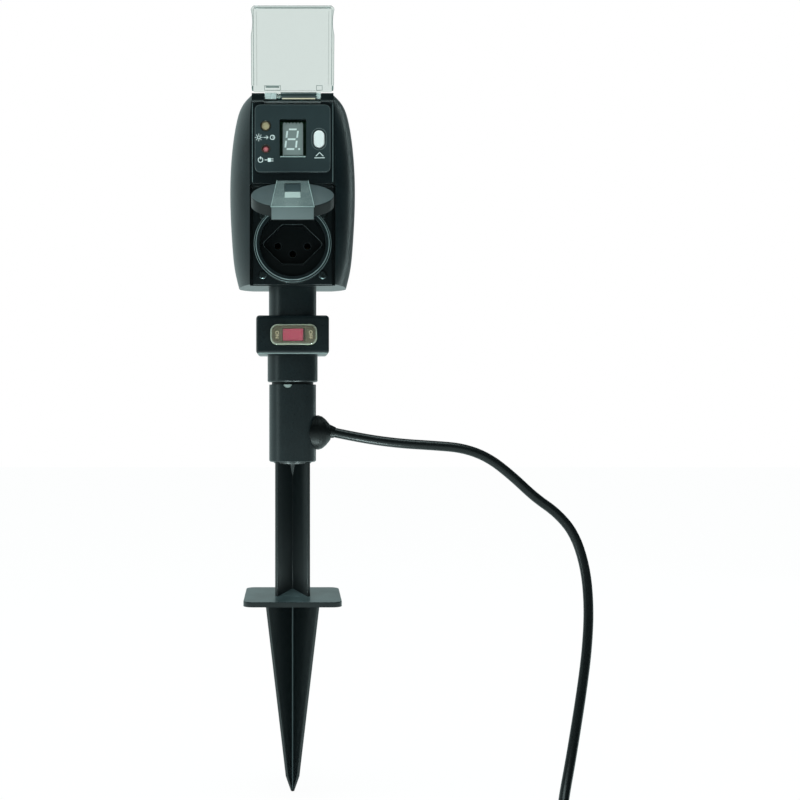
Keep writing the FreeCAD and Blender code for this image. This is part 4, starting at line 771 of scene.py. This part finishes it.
@dataclass
class Studio(Assembly):
    """Pale floor, soft lamps, white surroundings and the camera at the photograph's angle."""

    # the camera's place in metres
    eye: Point = (0.0, -0.780, 0.127)
    focal_px: float = 1200.0
    frame_px: float = 800.0
    centre_px: Pair = (292.6, 404.0)
    sensor_mm: float = 36.0
    # each soft box: name, place and aim in metres, width and height, watts
    boxes: tuple[tuple[str, Point, Point, Pair, float], ...] = (
        ("top_box", (0.0, -0.1, 1.3), (0.0, 0.0, 0.15), (0.9, 0.5), 12.0),
        ("left_box", (-1.2, -0.25, 0.35), (0.0, 0.0, 0.15), (0.3, 1.2), 1.9),
        ("right_box", (0.8, 0.85, 0.3), (0.0, 0.0, 0.15), (0.06, 1.2), 0.9),
        ("under_box_-1", (-0.038, -0.046, 0.004), (-0.038, -0.046, 1.0), (0.036, 0.036), 0.17),
        ("under_box_1", (0.038, -0.046, 0.004), (0.038, -0.046, 1.0), (0.036, 0.036), 0.17),
    )
    cast: str = "#D6EDEC"
    bright_side: Point = (-0.6, 0.8, 0.0)
    bright_span: Pair = (0.3, 0.95)
    bright_level: Pair = (0.02, 0.8)
    soft_side: Point = (-0.86, -0.1, 0.5)
    soft_level: Pair = (0.2, 1.4)
    floor_mm: float = -124.5
    floor_share: float = 0.95

    def camera(self) -> None:
        """Sets the camera: level, square to the front, with the framing shift of the photograph."""
        data = bpy.data.cameras.new("front_camera")
        data.sensor_width = self.sensor_mm
        data.lens = self.sensor_mm * self.focal_px / self.frame_px
        data.shift_x = 0.5 - self.centre_px[0] / self.frame_px
        data.shift_y = self.centre_px[1] / self.frame_px - 0.5
        data.clip_start = 0.01
        item = bpy.data.objects.new("front_camera", data)
        item.location = self.eye
        item.rotation_euler = (math.pi / 2, 0, 0)
        bpy.context.collection.objects.link(item)
        bpy.context.scene.camera = item

    def lamps(self) -> None:
        """Hangs soft boxes above and at the sides, and two small ones low in front for the undersides."""
        for name, place, aim, size, watts in self.boxes:
            data = bpy.data.lights.new(name, "AREA")
            data.shape = "RECTANGLE"
            data.size, data.size_y = size
            data.energy = watts
            data.color = linear(self.cast)[:3]
            item = bpy.data.objects.new(name, data)
            item.location = place
            item.rotation_euler = (Vector(aim) - Vector(place)).to_track_quat("-Z", "Y").to_euler()
            if name.startswith("under"):
                item.visible_camera = False
                item.visible_diffuse = False
            bpy.context.collection.objects.link(item)

    def seen(self, tree: Tree) -> Socket:
        """Tells rays that reach the eye, straight or through clear plastic, from the others.

        Args:
            tree: the node tree that asks.

        Returns:
            One for such a ray and zero for others.
        """
        path = add_node(tree, "LightPath").outputs
        links = {0: path["Is Camera Ray"], 1: path["Is Transmission Ray"]}
        return add_node(tree, "Math", links, operation="MAXIMUM").outputs[0]

    def glow(self, tree: Tree, side: Point, span: Pair, level: Pair) -> Socket:
        """Makes the surroundings brighter toward one side.

        Args:
            tree: the world's node tree.
            side: the direction of the bright side.
            span: the cosines to it where the glow begins and where it is full.
            level: the strength at both.

        Returns:
            The strength.
        """
        place = add_node(tree, "TexCoord").outputs["Generated"]
        along = add_node(tree, "VectorMath", {0: place, 1: side}, operation="DOT_PRODUCT")
        links = {"Value": along.outputs["Value"], "From Min": span[0], "From Max": span[1]}
        links |= {"To Min": level[0], "To Max": level[1]}
        return add_node(tree, "MapRange", links).outputs["Result"]

    def surroundings(self) -> None:
        """Sets the world: white to the eye, brighter from the left and above, in gloss from behind too."""
        world = bpy.data.worlds.new("white_surroundings")
        world.use_nodes = True
        bpy.context.scene.world = world
        tree = world.node_tree
        tree.nodes.clear()
        gloss = self.glow(tree, self.bright_side, self.bright_span, self.bright_level)
        diffuse = self.glow(tree, self.soft_side, (-1.0, 1.0), self.soft_level)
        path = add_node(tree, "LightPath").outputs
        links = {0: path["Is Glossy Ray"], 2: diffuse, 3: gloss}
        soft = add_node(tree, "Mix", links, data_type="FLOAT").outputs[0]
        seen = self.seen(tree)
        strength = add_node(tree, "Mix", {0: seen, 2: soft, 3: 1.0}, data_type="FLOAT").outputs[0]
        links = {"Factor": seen, 6: linear(self.cast), 7: linear("#FFFFFF")}
        tint = add_node(tree, "Mix", links, data_type="RGBA").outputs[2]
        sky = add_node(tree, "Background", {"Color": tint, "Strength": strength})
        add_node(tree, "OutputWorld", {"Surface": sky.outputs["Background"]})

    def floor(self) -> None:
        """Lays a pale floor that shows white, also through clear plastic, and keeps the object's shadow."""
        deselect()
        bpy.ops.mesh.primitive_plane_add(size=8, location=(0, 0, self.floor_mm * MM))
        plane = bpy.context.active_object
        plane.name = "pale_floor"
        material, tree = fresh_material("pale_floor_paint")
        paint = add_node(tree, "BsdfDiffuse", {"Color": linear("#F4F5F5")})
        glow = add_node(tree, "Emission", {"Color": linear("#FFFFFF"), "Strength": 1.0})
        links = {0: self.seen(tree), 1: self.floor_share}
        share = add_node(tree, "Math", links, operation="MULTIPLY")
        links = {0: share.outputs[0], 1: paint.outputs["BSDF"], 2: glow.outputs["Emission"]}
        mix = add_node(tree, "MixShader", links)
        add_node(tree, "OutputMaterial", {"Surface": mix.outputs["Shader"]})
        plane.data.materials.append(material)

    def build(self) -> None:
        """Sets up the whole studio."""
        bpy.context.scene.view_settings.view_transform = "Standard"
        self.camera()
        self.lamps()
        self.surroundings()
        self.floor()


@dataclass
class Lead(Assembly):
    """Mains lead: free run, put-away coil and the plug on its end."""

    diameter: float = 6.3
    floor: float = -124.4
    lift: float = 0.65
    layer: float = 6.75
    outer_radius: float = 42.0
    step: float = 7.0
    turns: float = 4.944
    centre: Pair = (198.0, -108.0)
    tail: float = 7.0
    climb: float = 0.5
    per_turn: int = 24
    route: tuple[Point, ...] = (
        (27.4, 0.0, 108.4), (46.5, 0.0, 104.4), (70.0, 0.0, 101.3), (92.0, 0.0, 100.0),
        (111.0, 0.0, 98.4), (127.5, 0.0, 92.2), (143.0, 0.0, 80.0), (157.5, 0.0, 66.2),
        (171.5, 0.0, 56.6), (183.0, -1.0, 43.0), (189.5, -4.0, 21.0), (190.5, -9.0, -4.0),
        (187.5, -16.0, -29.0), (182.0, -25.0, -53.0), (175.5, -36.0, -75.0), (169.0, -48.0, -94.0),
        (162.5, -61.0, -109.0), (157.8, -76.0, -117.6), (156.0, -92.0, -120.6), (156.0, -108.0, -120.6),
    )

    def coil_point(self, turned: float) -> Point:
        """Gives a point of the coil: in along the lower layer and out along the upper.

        Args:
            turned: the turns wound so far.

        Returns:
            The point.
        """
        reverse = self.turns / 2
        inward = turned if turned < reverse else self.turns - turned
        radius = self.outer_radius - self.step * inward
        # the lead climbs to its upper layer over half a turn, with a soft start and end
        share = min(1.0, max(0.0, (turned - reverse) / self.climb + 0.5))
        height = self.floor + self.lift + self.diameter / 2
        height += self.layer * (0.5 - 0.5 * math.cos(math.pi * share))
        angle = math.pi + 2 * math.pi * turned
        return (self.centre[0] + radius * math.cos(angle), self.centre[1] + radius * math.sin(angle), height)

    def points(self) -> list[Point]:
        """Gives the whole line: the route, the coil's turns and the straight tail.

        Returns:
            The points.
        """
        count = round(self.turns * self.per_turn)
        coil = [self.coil_point(self.turns * n / count) for n in range(1, count + 1)]
        last, before = Vector(coil[-1]), Vector(self.coil_point(self.turns - 0.001))
        way = (last - before).normalized()
        way.z = 0
        ends = [tuple(last + way.normalized() * self.tail * share) for share in (0.5, 1.0)]
        return [*self.route, *coil, *ends]

    def cord(self) -> Item:
        """Builds the cord.

        Returns:
            One smooth curve with a round section.
        """
        item = round_curve("mains_lead", self.points(), self.diameter, 6, "NURBS")
        item.data.resolution_u = 5
        spline = item.data.splines[0]
        spline.resolution_u = 5
        spline.order_u = 3
        spline.use_endpoint_u = True
        return item

    def build(self) -> None:
        cord = self.finish(self.cord(), Stock.CORD, "cord_rubber", Body.COLUMN)
        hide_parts("mains_cord", "mains_cord_coil")


@dataclass
class Display(Assembly):
    """Single digit display: grey face with a toothed top, slanted segments, the point and the sill."""

    middle: Pair = (0.2, 293.5)
    front: float = -25.3
    # the face's half width, and its reach below and above the middle
    face: Point = (6.4, 10.2, 9.6)
    # the round teeth along its top: their count, radius, depth and sides
    teeth: tuple[int, float, float, int] = (6, 1.0, 0.26, 20)
    digit: Pair = (6.7, 12.4)
    bar: float = 1.15
    gap: float = 0.35
    slant: float = 0.12
    shift: float = -0.8
    # the point: its distance from the digit, its radius and its depth
    point: Point = (1.4, 0.65, 0.3)
    # the sill's half width, its front and back, and its foot and top below the middle
    sill: tuple[float, Pair, Pair] = (8.0, (-28.45, -26.4), (11.95, 11.2))

    def segment(self, number: int, start: Pair, end: Pair) -> Item:
        """Builds one segment: a bar that leans with the digit.

        Args:
            number: the segment's number.
            start: one end on the face.
            end: the other end.

        Returns:
            The segment.
        """
        (x0, z0), (x1, z1) = start, end
        half = self.bar / 2
        flat = abs(x1 - x0) > abs(z1 - z0)
        wide, tall = (0.0, half) if flat else (half, 0.0)
        proud, deep = self.front - 0.12, self.front + 0.3
        item = block(f"segment_{number}", (x0 - wide, proud, z0 - tall), (x1 + wide, deep, z1 + tall))
        pick(item, lambda f: abs(f.normal.x if flat else f.normal.z) > 0.9)
        bpy.ops.mesh.extrude_region_move(TRANSFORM_OT_translate={"value": (0, 0, 0)})
        leave()
        for vertex in item.data.vertices:
            vertex.co.x += (vertex.co.z / MM - self.middle[1]) * self.slant * MM
        return item

    def digits(self) -> Item:
        """Builds the seven segments, from the top down and from the left, and the point.

        Returns:
            All of them as one piece.
        """
        x, z = self.middle[0] + self.shift, self.middle[1]
        w, h = self.digit[0] / 2, self.digit[1] / 2
        side = self.bar / 2 + self.gap
        bars = [((x - w + side, z + up), (x + w - side, z + up)) for up in (h, 0.0, -h)]
        for low, high in ((z + side, z + h - side), (z - h + side, z - side)):
            bars += [((x + way * w, low), (x + way * w, high)) for way in (-1, 1)]
        pieces = [self.segment(n, start, end) for n, (start, end) in enumerate(bars)]
        away, *point = self.point
        pieces.append(disc("decimal_point", (x + w + away, self.front, z - h), *point))
        return soften(join("display_segments", pieces), 0.06, 2)

    def build(self) -> None:
        """Builds the face with its toothed top, the digit and the window's sill."""
        x, z = self.middle
        wide, down, up = self.face
        low, high = (x - wide, self.front - 0.1, z - down), (x + wide, self.front + 0.2, z + up)
        pieces = [block("display_face", low, high)]
        count, *tooth = self.teeth
        for n in range(count):
            place = (x - wide + 2 * wide * (n + 0.5) / count, self.front + 0.04, z + up)
            pieces.append(disc(f"face_tooth_{n}", place, *tooth))
        self.finish(soften(join("display_face", pieces), 0.06), Stock.DISPLAY, "display_grey")
        self.finish(self.digits(), Stock.SEGMENT, "white_plastic")
        # painted highlight: the sill is pale where light catches its lower ledge
        half, (front, back), (foot, top) = self.sill
        sill = block("window_sill", (x - half, front, z - foot), (x + half, back, z - top))
        pick(sill, lambda f: f.normal.y < -0.9)
        bpy.ops.mesh.inset(thickness=0.12 * MM, depth=0.1 * MM)
        leave()
        self.finish(soften(sill, 0.1), Stock.SILL, "grey_plastic")


@dataclass
class LidInlay(Assembly):
    """Face with its painted sheen, painted highlight edge and lit tab face of the lid's band, and the plain
    two-tone inlay in its recess.

    The lid's own frame has its origin in the hinge and shows the lid closed.
    """

    axis: Pair = (-24.0, 261.3)
    open_angle: float = 63.0
    seat: float = 8.1
    half: float = 4.75
    top: float = -12.7
    foot: float = -29.8
    label: Pair = (-30.4, -42.0)
    face: float = 8.5
    band: Pair = (9.75, 12.65)
    run: Pair = (-6.4, -59.5)

    def on_lid(self, item: Item, stock: Stock, slot: str = "grey_lid") -> Item:
        """Opens a piece with the lid and finishes it."""
        return self.finish(self.hang(item, self.axis, -self.open_angle), stock, slot, Body.LID)

    def plate(self, name: str, low: float, high: float, seat: float) -> Item:
        """Builds one plate of the inlay with a sunk middle.

        Args:
            name: the plate's name.
            low: its lower end below the hinge.
            high: its upper end.
            seat: how far the face that it lies on stands before the hinge.

        Returns:
            The plate in the lid's own frame.
        """
        plate = block(name, (-self.half, -seat - 0.15, low), (self.half, -seat + 0.05, high))
        pick(plate, lambda f: f.normal.y < -0.9)
        bpy.ops.mesh.inset(thickness=0.35 * MM, depth=-0.06 * MM)
        leave()
        return soften(plate, 0.05, 2)

    def sheet(self, name: str, across: Pair, low: float, high: float) -> Item:
        """Adds one of the thin plates of the band's face."""
        return block(name, (across[0], -self.face - 0.05, low), (across[1], -self.face + 0.2, high))

    def band_face(self) -> Item:
        """Builds the polished face of the band round its recess, as four thin plates.

        Returns:
            The plates as one piece in the lid's own frame.
        """
        near, far = self.band
        top, end = self.run[0] - 0.2, self.run[1] + 0.2
        hole = self.half + 0.2
        pieces = []
        for way in (-1, 1):
            low, high = sorted((way * hole, way * (far - 0.2)))
            side = self.sheet(f"band_side_{way}", (low, high), end, top)
            for vertex in side.data.vertices:
                # the outer corners at the top follow the band's taper
                if abs(vertex.co.x) > (hole + 0.1) * MM and vertex.co.z > (top - 1) * MM:
                    vertex.co.x = way * (near - 0.2) * MM
            pieces.append(side)
        pieces.append(self.sheet("band_foot", (-hole, hole), end, self.foot - 0.3))
        pieces.append(self.sheet("band_head", (-hole, hole), self.top + 0.3, top))
        return join("lid_band_face", pieces)

    def build(self) -> None:
        """Builds the faces of band and tab, the dark plate, the pale one below it, and the lit edge."""
        self.on_lid(self.band_face(), Stock.BAND)
        near, far = self.band
        top, end = self.run
        tab = block("lid_tab_face", (0.3 - far, -self.face + 0.35, end - 0.08), (far - 0.3, -0.9, end + 0.2))
        # painted light: the tab's face takes the lit edge colour
        self.on_lid(soften(tab, 0.04, 2), Stock.EDGE)
        self.on_lid(self.plate("inlay_dark", self.foot, self.top, self.seat), Stock.PLATE)
        pale = self.plate("inlay_pale", self.label[1], self.label[0], self.face)
        self.on_lid(pale, Stock.GREY, "grey_plastic")
        # painted highlight along the band's edges
        line = [(x, -self.face, z) for x, z in ((-near, top), (-far, end), (far, end), (near, top))]
        self.on_lid(bead("lid_band_edge", line, 0.45), Stock.SILL)


@dataclass
class FlapTrim(Assembly):
    """Rod with its painted highlight streak, milky lugs, and painted lines for the light and shade along the
    flap's walls.

    The flap's own frame has its origin in the rod's axis and shows the flap upright.
    """

    axis: Pair = (-27.4, 320.1)
    lean: float = 14.0
    rod: Pair = (-7.3, 14.8)
    rod_radius: float = 2.37
    # the streak's depth and height from the axis
    streak: Pair = (-1.85, -1.45)
    lugs: tuple[Pair, ...] = ((-17.4, -10.1), (15.0, 17.6))
    lug_radius: float = 1.98
    half: float = 25.8
    end: float = 54.0
    wall: float = 1.6
    rim: float = -0.8
    panel: float = 2.0
    foot: float = 6.4
    # the finger dent in each side: its depth, its half length, and its middle below the end
    grip: Point = (0.95, 7.6, 9.6)
    # the outlines behind the lugs: their ends along X and their foot and top
    outlines: tuple[Pair, ...] = ((-17.6, -7.6), (15.0, 18.6))
    outline_run: Pair = (3.6, 6.4)

    def on_flap(self, item: Item, stock: Stock, slot: str = "clear_flap") -> None:
        """Leans a piece with the flap and finishes it."""
        self.finish(self.hang(item, self.axis, self.lean), stock, slot, Body.FLAP)

    def barrel(self, name: str, span: Pair, radius: float) -> Item:
        """Builds a round piece on the axis with stepped, rounded ends.

        Args:
            name: the piece's name.
            span: its ends along X.
            radius: its radius.

        Returns:
            The piece in the flap's own frame.
        """
        item = disc(name, (sum(span) / 2, 0, 0), radius, span[1] - span[0], 40, along="x")
        pick(item, lambda f: abs(f.normal.x) > 0.9)
        bpy.ops.mesh.inset(thickness=0.25 * MM, depth=-0.1 * MM)
        leave()
        return soften(item, 0.12, 3)

    def side(self, way: int, inset: float, low: float, high: float) -> list[Point]:
        """Follows one side of the panel with its finger dent.

        Args:
            way: -1 on the left and 1 on the right.
            inset: the distance inside the edge.
            low: its lower end.
            high: its upper end.

        Returns:
            The points, from low to high.
        """
        deep, reach, below = self.grip
        radius = (deep * deep + reach * reach) / (2 * deep)
        line = []
        for n in range(41):
            z = low + (high - low) * n / 40
            off = abs(z - (self.end - below))
            dent = math.sqrt(radius * radius - off * off) - (radius - deep) if off < reach else 0.0
            line.append((way * (self.half - inset - max(0.0, dent)), self.rim, z))
        return line

    def wall_lines(self) -> list[Item]:
        """Lays the painted lines of light along both walls, in the grooves beside them and along the end, and
        the painted shade at their foot.

        Returns:
            The lines in the flap's own frame.
        """
        low, high, groove = self.foot + 0.2, self.end - 2.2, self.panel + 0.25
        # name, distance from the middle, depth, lower and upper end, thickness
        uprights = (
            ("inner_line", self.half - self.wall + 0.14, self.rim, (low, high), 0.28),
            ("fine_line", self.half - 3.4, groove, (7.0, 50.6), 0.1),
            ("foot_shade", self.half - 0.7, groove, (3.2, self.foot - 0.1), 0.9),
        )
        lines = []
        for way in (-1, 1):
            lines.append(bead(f"outer_line_{way}", self.side(way, 0.12, low, high), 0.26))
            for name, x, y, span, width in uprights:
                lines.append(bead(f"{name}_{way}", [(way * x, y, z) for z in span], width))
        ends = (
            ("top_line", 23.6, self.rim + 0.15, self.end - self.wall + 0.3, 0.55),
            ("top_edge", 24.2, self.rim + 0.05, self.end - 0.2, 0.34),
        )
        return lines + [bead(name, [(-x, y, z), (x, y, z)], width) for name, x, y, z, width in ends]

    def build(self) -> None:
        """Builds the rod, the lugs and the lines."""
        self.on_flap(self.barrel("flap_rod_sleeve", self.rod, self.rod_radius), Stock.ROD, "black_gloss")
        # painted highlight under the rod
        y, z = self.streak
        streak = bead("flap_rod_painted_highlight", [(self.rod[0] + 0.8, y, z), (self.rod[1] - 0.6, y, z)], 0.9)
        self.on_flap(streak, Stock.STREAK, "amber_plastic")
        lugs = [self.barrel(f"flap_lug_{n}", span, self.lug_radius) for n, span in enumerate(self.lugs)]
        self.on_flap(join("flap_lugs", lugs), Stock.LUG)
        # painted light and shade along the walls and by the lugs
        self.on_flap(join("flap_wall_lines", self.wall_lines()), Stock.WALL)
        marks = []
        (low, high), y = self.outline_run, self.panel + 0.1
        for n, (x0, x1) in enumerate(self.outlines):
            box = [(x0, y, low), (x1, y, low), (x1, y, high), (x0, y, high)]
            marks.append(bead(f"lug_outline_{n}", box, 0.4, closed=True))
        marks.append(bead("lug_shade", [(x, self.panel + 0.35, 5.6) for x in (-16.9, -8.4)], 1.0))
        self.on_flap(join("lug_outlines", marks), Stock.WALL)


@dataclass
class FrontEdges(Assembly):
    """Thin beads painted as highlights on the edges round the button, plate, pin holes, recess, ring and
    frame, and the lenses' brown collars.
    """

    # the recess: its middle's height, its width, height and upper edge, its depth, its corners' radius
    middle: float = 227.8
    size: Point = (39.2, 25.2, 13.4)
    front: float = -22.45
    corner: float = 3.0
    # each piece of closed lines: name, finish, steps of a quarter turn and thickness,
    # then the centre and the radius of each line, and half its straight parts if it has any
    loops: tuple[tuple[str, Stock, int, float, tuple[tuple, ...]], ...] = (
        ("button_bezel", Stock.EDGE, 10, 0.4, (((16.6, -28.3, 293.0), 4.6, (0.0, 2.1)),)),
        ("lens_collars", Stock.COLLAR, 10, 0.65, (
            ((-16.9, -28.35, 301.3), 2.8), ((-16.8, -28.35, 286.8), 2.45),
        )),
        ("plate_edge", Stock.EDGE, 8, 0.3, (((0.0, -28.2, 293.4), 3.3, (20.2, 17.7)),)),
        # painted highlights: lighter rims round the pin holes
        ("hole_rims", Stock.PLATE, 8, 0.25, (
            ((-9.5, -12.5, 227.8), 2.35), ((9.5, -12.5, 227.8), 2.35), ((0.0, -12.5, 222.8), 2.35),
        )),
    )
    # each line round the ring: name, depth, radius and thickness
    rings: tuple[tuple[str, float, float, float], ...] = (
        ("ring_rim", -28.3, 22.9, 0.5),
        ("ring_collar", -26.45, 24.15, 0.35),
    )
    # the painted highlight strip along the frame's right side, between two corners
    strip: tuple[Point, Point] = ((25.1, -26.36, 266.4), (25.45, -26.1, 316.2))

    def corner_points(self, before: Vector, at: Vector, after: Vector) -> list[Vector]:
        """Rounds one corner of the outline.

        Args:
            before: the corner before it.
            at: the corner.
            after: the corner after it.

        Returns:
            The points of its arc.
        """
        back, on = (before - at).normalized(), (after - at).normalized()
        half = back.angle(on) / 2
        reach = self.corner / math.tan(half)
        start, end = at + back * reach, at + on * reach
        return [start.lerp(at, t).lerp(at.lerp(end, t), t) for t in (0.0, 0.25, 0.5, 0.75, 1.0)]

    def outline(self) -> list[Point]:
        """Follows the recess with its rounded corners.

        Returns:
            The points.
        """
        w, h, f = (length / 2 for length in self.size)
        corners = [Vector(p) for p in ((-f, h), (f, h), (w, 0), (f, -h), (-f, -h), (-w, 0))]
        line = []
        for n, at in enumerate(corners):
            for point in self.corner_points(corners[n - 1], at, corners[(n + 1) % 6]):
                line.append((point.x, self.front, self.middle + point.y))
        return line

    def build(self) -> None:
        """Lays the beads, the nib and the strips."""
        for name, stock, steps, width, shapes in self.loops:
            lines = [loop(f"{name}_{n}", steps, width, *shape) for n, shape in enumerate(shapes)]
            self.finish(join(name, lines), stock)
        # painted highlights round the recess and on its nib
        edge = bead("recess_edge", self.outline(), 0.3, closed=True)
        top = self.middle + self.size[1] / 2
        nib = block("recess_nib", (-0.5, self.front - 0.15, top - 0.3), (0.5, self.front + 0.3, top + 0.7))
        soften(nib, 0.1, 2)
        self.finish(join("recess_edge", [edge, nib]), Stock.EDGE)
        # painted highlights on the ring's rim and collar, and strips on the frame's edges
        lines = [loop(name, 24, width, (0.0, y, self.middle), r) for name, y, r, width in self.rings]
        (near, front, foot), (far, back, head) = self.strip
        for way in (-1, 1):
            low, high = sorted((way * near, way * far))
            lines.append(block(f"frame_edge_{way}", (low, front, foot), (high, back, head)))
        self.finish(join("lit_edges", lines), Stock.RIM)


@dataclass
class SwitchMarks(Assembly):
    """ON and OFF on the ends of the switch's bezel, turned to read from the side."""

    middle: Pair = (0.7, 170.95)
    face: float = -19.65
    reach: float = 10.6
    height: float = 3.1
    raised: float = 0.04
    bold: float = 0.05

    def word(self, text: str, across: float) -> Item:
        """Sets one word as a thin raised print.

        Args:
            text: the word.
            across: its distance from the switch's middle.

        Returns:
            The word as a mesh.
        """
        deselect()
        bpy.ops.object.text_add()
        item = bpy.context.active_object
        item.name = f"switch_mark_{text.lower()}"
        item.data.body = text
        item.data.size = self.height * MM
        item.data.extrude = self.raised * MM
        item.data.offset = self.bold * MM
        item.data.align_x = "CENTER"
        item.data.align_y = "CENTER"
        item.rotation_euler = (math.pi / 2, math.radians(90), 0)
        item.location = ((self.middle[0] + across) * MM, self.face * MM, self.middle[1] * MM)
        bpy.ops.object.convert(target="MESH")
        settle(item)
        return item

    def build(self) -> None:
        """Prints both words."""
        marks = join("switch_marks", [self.word("ON", -self.reach), self.word("OFF", self.reach)])
        self.finish(marks, Stock.CREAM_INK, "white_plastic")


@dataclass
class HighlightBeads(Assembly):
    """Beads painted as highlights along the edges of the spike's blade and post and under the switch box."""

    # points of each side edge: distance from the middle and height
    blade: tuple[Pair, ...] = ((17.3, -0.4), (4.45, -114.0), (1.3, -122.8))
    post: tuple[Pair, ...] = ((11.2, 10.0), (11.2, 88.6))
    box: tuple[Point, Point] = ((-22.0, -19.3, 159.2), (22.0, -19.3, 159.2))
    thickness: float = 1.1
    width: float = 0.42

    def build(self) -> None:
        """Lays a painted highlight bead along each side edge, a dull one down the blade's front, a bright one
        under the box.
        """
        pieces = []
        for name, line in (("blade", self.blade), ("post", self.post)):
            for way in (-1, 1):
                path = [(way * (reach - 0.15), -self.thickness, z) for reach, z in line]
                pieces.append(bead(f"{name}_edge_{way}", path, self.width))
        self.finish(join("spike_edges", pieces), Stock.EDGE)
        front = bead("blade_front_edge", [(0.0, 0.2 - reach, z) for reach, z in self.blade], 0.9)
        self.finish(front, Stock.PLATE)
        self.finish(bead("box_edge", list(self.box), 0.5), Stock.SILL)


@dataclass
class PlugGrips(Assembly):
    """Finger ribs round the plug's flanks."""

    boot: float = 20.0
    first: float = 15.5
    pitch: float = 2.3
    count: int = 5
    width: float = 0.9
    # one half of a rib, across and up
    outline: tuple[Pair, ...] = ((10.5, -7.0), (17.75, -0.25), (17.75, 0.25), (6.7, 10.5))

    def build(self) -> None:
        """Builds the ribs along the plug and turns all into the lead's direction."""
        line = Lead().points()
        start, way = Vector(line[-1]), (Vector(line[-1]) - Vector(line[-2])).normalized()
        turn = Matrix.Rotation(math.atan2(way.y, way.x), 4, "Z")
        path = [*self.outline, *((-v, w) for v, w in reversed(self.outline))]
        ribs = []
        for n in range(self.count):
            along = Matrix.Translation(((self.boot + self.first + self.pitch * n) * MM, 0, 0))
            rib = bead(f"plug_rib_{n}", [(0.0, v, w) for v, w in path], self.width)
            rib.data.transform(Matrix.Translation(start * MM) @ turn @ along)
            ribs.append(rib)
        self.finish(join("plug_ribs", ribs), Stock.BAKELITE, "black_gloss")


@dataclass
class PrintedMarks(Assembly):
    """Plain printed pictograms on the label plate: sun, arrow and moon, power sign, plug and press sign."""

    plate: float = -28.3
    proud: float = 0.05
    # each ring: centre, outer radius and line width
    rings: tuple[tuple[Pair, float, float], ...] = (
        ((-21.2, 294.0), 1.15, 0.4),  # sun
        ((-12.6, 294.0), 1.6, 0.42),  # moon
        ((-20.1, 279.9), 1.7, 0.45),  # power sign
    )
    # each stroke: centre, width and height, turn in degrees
    strokes: tuple[tuple[Pair, Pair, float], ...] = (
        ((-16.9, 294.0), (2.6, 0.36), 0),  # arrow's line and its two heads
        ((-15.9, 293.5), (0.36, 1.5), 45),
        ((-15.9, 294.5), (0.36, 1.5), -45),
        ((-12.2, 294.0), (0.36, 2.4), 0),  # moon's shade
        ((-20.1, 281.2), (0.45, 1.8), 0),  # power sign's bar
        ((-14.6, 279.9), (1.9, 2.4), 0),  # plug, its two pins and its lead
        ((-12.9, 279.25), (1.6, 0.4), 0),
        ((-12.9, 280.55), (1.6, 0.4), 0),
        ((-16.5, 279.9), (2.0, 0.42), 0),
        ((15.75, 283.4), (0.45, 3.4), 45),  # press sign's two sides and its foot
        ((18.05, 283.4), (0.45, 3.4), -45),
        ((16.9, 281.2), (6.4, 0.45), 0),
    )
    # the sun's rays: count, reach of their middles, width and height
    rays: tuple[int, float, Pair] = (8, 1.95, (0.34, 0.8))

    def ring(self, centre: Pair, radius: float, width: float) -> Item:
        """Adds a flat printed ring.

        Args:
            centre: its centre on the plate.
            radius: its outer radius.
            width: the width of its line.

        Returns:
            The ring.
        """
        deselect()
        bpy.ops.mesh.primitive_torus_add(
            major_radius=(radius - width / 2) * MM,
            minor_radius=width / 2 * MM,
            major_segments=32,
            minor_segments=8,
            location=(centre[0] * MM, self.plate * MM, centre[1] * MM),
            rotation=(math.pi / 2, 0, 0),
        )
        item = bpy.context.active_object
        item.scale = (1, 1, 0.2)
        settle(item)
        return item

    def stroke(self, centre: Pair, size: Pair, turn: float) -> Item:
        """Adds a flat printed stroke.

        Args:
            centre: its centre on the plate.
            size: its width and height.
            turn: its turn in the plate's plane, in degrees.

        Returns:
            The stroke.
        """
        w, h = size[0] / 2, size[1] / 2
        item = block("printed_stroke", (-w, -self.proud, -h), (w, 0.1, h))
        place = Matrix.Translation((centre[0] * MM, self.plate * MM, centre[1] * MM))
        item.data.transform(place @ Matrix.Rotation(math.radians(turn), 4, "Y"))
        return item

    def build(self) -> None:
        """Prints the rings, the strokes and the sun's rays."""
        pieces = [self.ring(*ring) for ring in self.rings]
        pieces += [self.stroke(*stroke) for stroke in self.strokes]
        (x, z), (count, reach, size) = self.rings[0][0], self.rays
        for turn in range(0, 360, 360 // count):
            angle = math.radians(turn)
            at = (x + reach * math.sin(angle), z + reach * math.cos(angle))
            pieces.append(self.stroke(at, size, turn))
        self.finish(join("plate_marks", pieces), Stock.INK, "white_plastic")


def dress_nodes(frame: dict) -> None:
    """Puts each CAD node in its finish.

    Args:
        frame: the loaded frame.
    """
    for stock, names in NODE_STOCK.items():
        for name in names:
            dress(frame["nodes"][name], stock)
    missing = set(frame["nodes"]) - {name for names in NODE_STOCK.values() for name in names}
    if missing:
        raise ValueError(f"no finish for {sorted(missing)}")
    log.info("finishes on %d CAD nodes", len(frame["nodes"]))


def main() -> None:
    """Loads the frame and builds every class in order."""
    logging.basicConfig(level=logging.INFO, format="%(message)s")
    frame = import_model()
    dress_nodes(frame)
    makers = (
        Studio, Lead, Display, FrontEdges, HighlightBeads, FlapTrim, LidInlay, SwitchMarks, PrintedMarks,
        PlugGrips,
    )
    for maker in makers:
        maker().build()
        log.info("%s built", maker.__name__)


if __name__ == "__main__":
    main()
